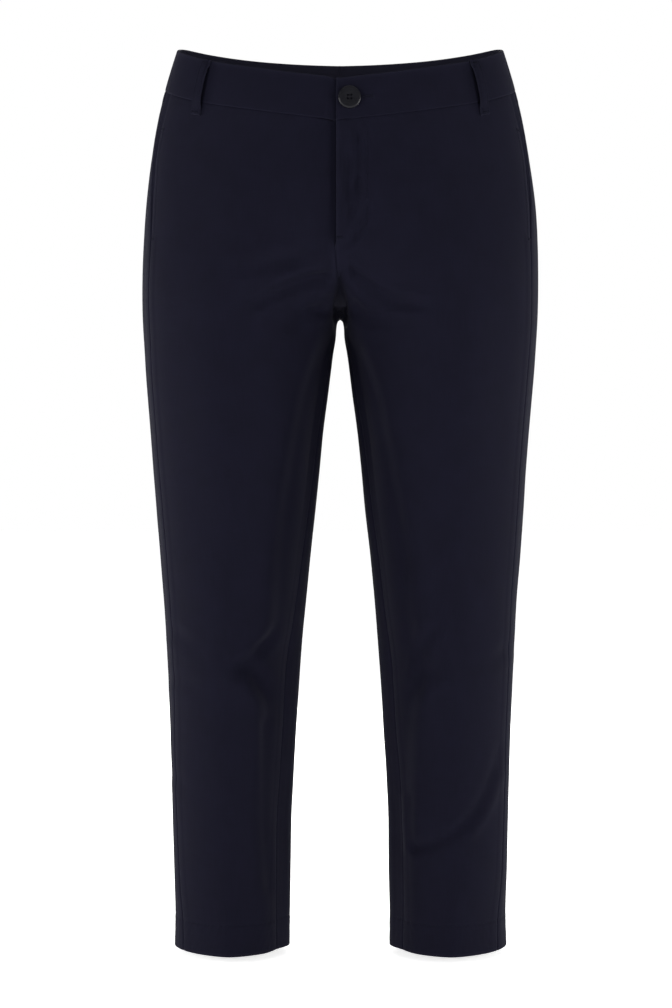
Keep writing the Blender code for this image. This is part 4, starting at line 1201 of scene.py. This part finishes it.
# The button and its buttonhole
button = {"radius": 10.7, "height": 2.6, "x": 8.6, "drop": 19.6, "seat": 1.15, "holeRadius": 1.05, "holeCircle": 2.3,
          "rim": ((1.3, 0.5), (0.6, 0.04), (1.5, -0.12), (2.4, -0.05), (1.1, -0.32)),  # width and rise of each step
          "threadOffset": 0.3, "threadSink": 0.55, "threadSize": (1.92, 1.0, 1.4)}
buttonHeight = float(waistHeight(math.pi / 2)) - button["drop"]
buttonAngle = float(angleOfX(button["x"], buttonHeight))
buttonAt = Vector(surfacePoint(1, buttonAngle, buttonHeight, cut["bandProud"] + button["seat"]))
buttonOut = Vector(surfacePoint(1, buttonAngle, buttonHeight, 1.0) - surfacePoint(1, buttonAngle, buttonHeight))
buttonOut = buttonOut.normalized()
buttonTurn = buttonOut.to_track_quat("Z", "Y")


def modelButton(material):
    radius, height = button["radius"] * mm, button["height"] * mm
    bpy.ops.object.select_all(action="DESELECT")
    bpy.ops.mesh.primitive_cylinder_add(vertices=72, radius=radius, depth=height, location=(0, 0, height / 2))
    body = bpy.context.object
    body.name = "buttonDish"
    bpy.ops.object.transform_apply(location=True)
    bpy.ops.object.mode_set(mode="EDIT")
    editSelected(lambda co: co.z > 0.9 * height, "FACE")
    for thickness, depth in button["rim"]:
        bpy.ops.mesh.inset(thickness=thickness * mm, depth=depth * mm)
    editSelected(lambda co: co.z < 0.1 * height, "FACE")
    bpy.ops.mesh.inset(thickness=1.4 * mm)
    bpy.ops.transform.translate(value=(0, 0, -0.25 * mm))
    bpy.ops.object.mode_set(mode="OBJECT")
    soften = body.modifiers.new("softEdges", "BEVEL")
    soften.width, soften.segments, soften.limit_method = 0.28 * mm, 3, "ANGLE"
    soften.angle_limit = math.radians(18)
    bpy.ops.object.modifier_apply(modifier="softEdges")
    for k in range(4):
        turn = math.radians(45 + 90 * k)
        spot = (button["holeCircle"] * mm * math.cos(turn), button["holeCircle"] * mm * math.sin(turn), 0)
        bpy.ops.object.select_all(action="DESELECT")
        bpy.ops.mesh.primitive_cylinder_add(vertices=20, radius=button["holeRadius"] * mm, depth=0.02, location=spot)
        drill = bpy.context.object
        bpy.ops.object.transform_apply(location=True)
        bpy.context.view_layer.objects.active = body
        hole = body.modifiers.new("hole", "BOOLEAN")
        hole.object, hole.operation, hole.solver = drill, "DIFFERENCE", "EXACT"
        bpy.ops.object.modifier_apply(modifier="hole")
        bpy.data.objects.remove(drill, do_unlink=True)
    body.location = buttonAt * mm
    body.rotation_euler = buttonTurn.to_euler()
    bpy.ops.object.select_all(action="DESELECT")
    body.select_set(True)
    bpy.ops.object.transform_apply(location=True, rotation=True)
    bpy.ops.object.shade_smooth_by_angle(angle=math.radians(32))
    body.data.materials.clear()
    body.data.materials.append(material)
    return finishPiece(body, "dark_button", "button")


modelButton(buttonHorn)
strands = []
for turn in (45, 135):
    direction = buttonTurn @ Vector((math.cos(math.radians(turn)), math.sin(math.radians(turn)), 0))
    beside = buttonOut.cross(direction)
    for offset in (-button["threadOffset"], button["threadOffset"]):
        strands.append((buttonAt + buttonOut * (button["height"] - button["threadSink"]) + beside * offset, direction,
                        buttonOut, button["threadSize"]))
joinCopies("buttonThread", stitchModel, *(np.array([strand[k] for strand in strands]) for k in range(4)), thread)

hole = {"startX": 7.0, "endX": 31.0, "rise": 1.6, "pitch": 0.75, "half": 1.25, "end": 1.6}
holeX = np.arange(hole["startX"], hole["endX"], hole["pitch"])
holeZ = buttonHeight + hole["rise"] * (holeX - hole["startX"]) / (hole["endX"] - hole["startX"])
endZ = holeZ[-1] + np.linspace(-hole["end"], hole["end"], 5)
# both long sides and the bar at the end: their places, the way each stitch lies, its lift and its size
holeRows = [(holeX, holeZ + up * hole["half"] * 0.72, (0.12, 0, 1.0), 0.12, (0.62, 1.35, 1.0)) for up in (1, -1)]
holeRows.append((np.full(5, hole["endX"] + 0.4), endZ, (1.0, 0, 0), 0.14, (0.7, 1.3, 1.0)))
tacks = []
for x, z, ahead, lift, size in holeRows:
    places, outs = seatOn(trees["waistband", 1], surfacePoint(1, angleAtX(x, z), z, 2.5))
    tacks.append((places + outs * lift, np.tile(ahead, (len(x), 1)), outs, np.tile(size, (len(x), 1))))
sewTacks("buttonhole", tacks)
print("button and buttonhole made")

# The zip's chain: one tooth, copied down both tapes
zipChain = {"middle": 1.0, "apart": 0.55, "top": -72.0, "end": -173.0, "pitch": 1.5, "lift": -8.0,
            "tooth": (2.4, 0.85, 0.9), "softEdge": 0.16}


def modelTooth():
    bpy.ops.object.select_all(action="DESELECT")
    bpy.ops.mesh.primitive_cube_add(size=1.0, scale=[side * mm for side in zipChain["tooth"]])
    bpy.ops.object.transform_apply(scale=True)
    bpy.ops.object.mode_set(mode="EDIT")
    editSelected(lambda co: co.x > 1.1 * mm)
    bpy.ops.transform.resize(value=(1, 0.7, 0.75))
    bpy.ops.mesh.select_all(action="SELECT")
    bpy.ops.mesh.bevel(offset=zipChain["softEdge"] * mm, segments=1, affect="EDGES")
    return takeModel()


toothZ = np.arange(zipChain["top"], zipChain["end"], -zipChain["pitch"] / 2)
leftward = np.where(np.arange(len(toothZ)) % 2 == 0, 1.0, -1.0)
toothAngle = angleAtX(zipChain["middle"] + zipChain["apart"] * leftward, toothZ)
toothOut = surfacePoint(1, toothAngle, toothZ, 1.0) - surfacePoint(1, toothAngle, toothZ)
toothAhead = np.stack([-leftward, 0 * leftward, 0 * leftward], axis=1)
joinCopies("zipTeeth", modelTooth(), surfacePoint(1, toothAngle, toothZ, zipChain["lift"]), toothAhead, toothOut,
           np.ones((len(toothZ), 3)), zipMetal, "zip_metal")
print("zip chain made")

# The slider's shape is right as it is, and takes the chain's metal
for slot in frame["nodes"]["zip_slider"].material_slots:
    slot.material = zipMetal

# A list for each cloth piece: how it is held, what it hangs from, and what is sewn on it
pairedSheets = {
    "front": ("hung", ["waistband"], ["stitchesPocket", "stitchesHemFront"]),
    "back": ("hung", ["waistband"], ["stitchesHemBack"]),
    "waistband": ("stretched", [], ["stitchesBand"]),
    "pocketFacing": ("hung", ["waistband"], []),
}
sheets = [(kind + word, held, [carrier + word for carrier in carriers], [other + word for other in sewnOn])
          for kind, (held, carriers, sewnOn) in pairedSheets.items() for word in sideWord.values()]
sheets += [("flyFacing", "hung", ["frontLeft"], []), ("flyShield", "hung", ["frontRight"], []),
           ("zipTape", "hung", ["frontLeft"], ["zipTeeth"])]
sheets += [("beltLoop" + name, "folded", ["waistband" + sideWord[1 if turn >= 0 else -1]], ["stitchesLoop" + name])
           for name, (_, turn) in beltLoops.items()]

# Floor, lights and camera
stage = {"floor": -0.8792, "size": 60.0, "paper": 0.86, "glow": 0.73}
bpy.ops.mesh.primitive_plane_add(size=stage["size"], location=(0, 0, stage["floor"]))
floor = bpy.context.object
floor.name = "floor"
paper, paperTree, paperShader = newMaterial("palePaper")
setInputs(paperTree, paperShader, {
    "Base Color": (stage["paper"],) * 3, "Emission Color": (1, 1, 1), "Emission Strength": stage["glow"],
    "Roughness": 0.9, "Specular IOR Level": 0.1,
})
floor.data.materials.append(paper)

world = bpy.data.worlds.new("studio")
bpy.context.scene.world = world
world.use_nodes = True
seen = addNode(world.node_tree, "LightPath", {}).outputs["Is Camera Ray"]
setInputs(world.node_tree, world.node_tree.nodes["Background"], {"Color": (1, 1, 1), "Strength": seen})

banks = {  # degrees round from the front, degrees up, watts, and size in metres
    "rightFront": (-48, 7, 33.5, 1.3), "rightSide": (-92, 0, 27.0, 0.8),
    "leftFront": (48, 7, 29.5, 1.3), "leftSide": (92, 0, 22.0, 0.8),
    "behindRight": (-140, 12, 9.0, 1.3), "behind": (180, 18, 38.0, 1.3), "behindLeft": (140, 12, 7.5, 1.3),
}
rig = {"centre": -0.42, "away": 2.4, "skyFrom": (0.2, 0.7, 2.0), "skyAngle": 70.0, "skyPower": 1.3}


def hangLight(name, kind, place, power, size):
    lamp = bpy.data.lights.new(name, kind)
    lamp.energy = power
    setattr(lamp, "angle" if kind == "SUN" else "size", size)
    holder = bpy.data.objects.new(name, lamp)
    holder.location = place
    holder.rotation_euler = (Vector((0, 0, rig["centre"])) - Vector(place)).to_track_quat("-Z", "Y").to_euler()
    bpy.context.scene.collection.objects.link(holder)


for name, (turn, up, power, size) in banks.items():
    turn, up = math.radians(turn), math.radians(up)
    toward = np.array([math.sin(turn) * math.cos(up), -math.cos(turn) * math.cos(up), math.sin(up)])
    hangLight(name, "AREA", toward * rig["away"] + (0, 0, rig["centre"]), power, size)
hangLight("sky", "SUN", rig["skyFrom"], rig["skyPower"], math.radians(rig["skyAngle"]))

eye = {"place": (-0.0042, -2.0, -0.433), "lens": 36 * 2000 / 1008, "sensor": 36.0}
cameraData = bpy.data.cameras.new("frontCamera")
cameraData.sensor_fit = "AUTO"
cameraData.sensor_width = eye["sensor"]
cameraData.lens = eye["lens"]
camera = bpy.data.objects.new("frontCamera", cameraData)
camera.location = eye["place"]
camera.rotation_euler = (math.radians(90), 0, 0)
bpy.context.scene.collection.objects.link(camera)
bpy.context.scene.camera = camera
bpy.context.scene.view_settings.view_transform = "Standard"
print("floor, lights and camera set")
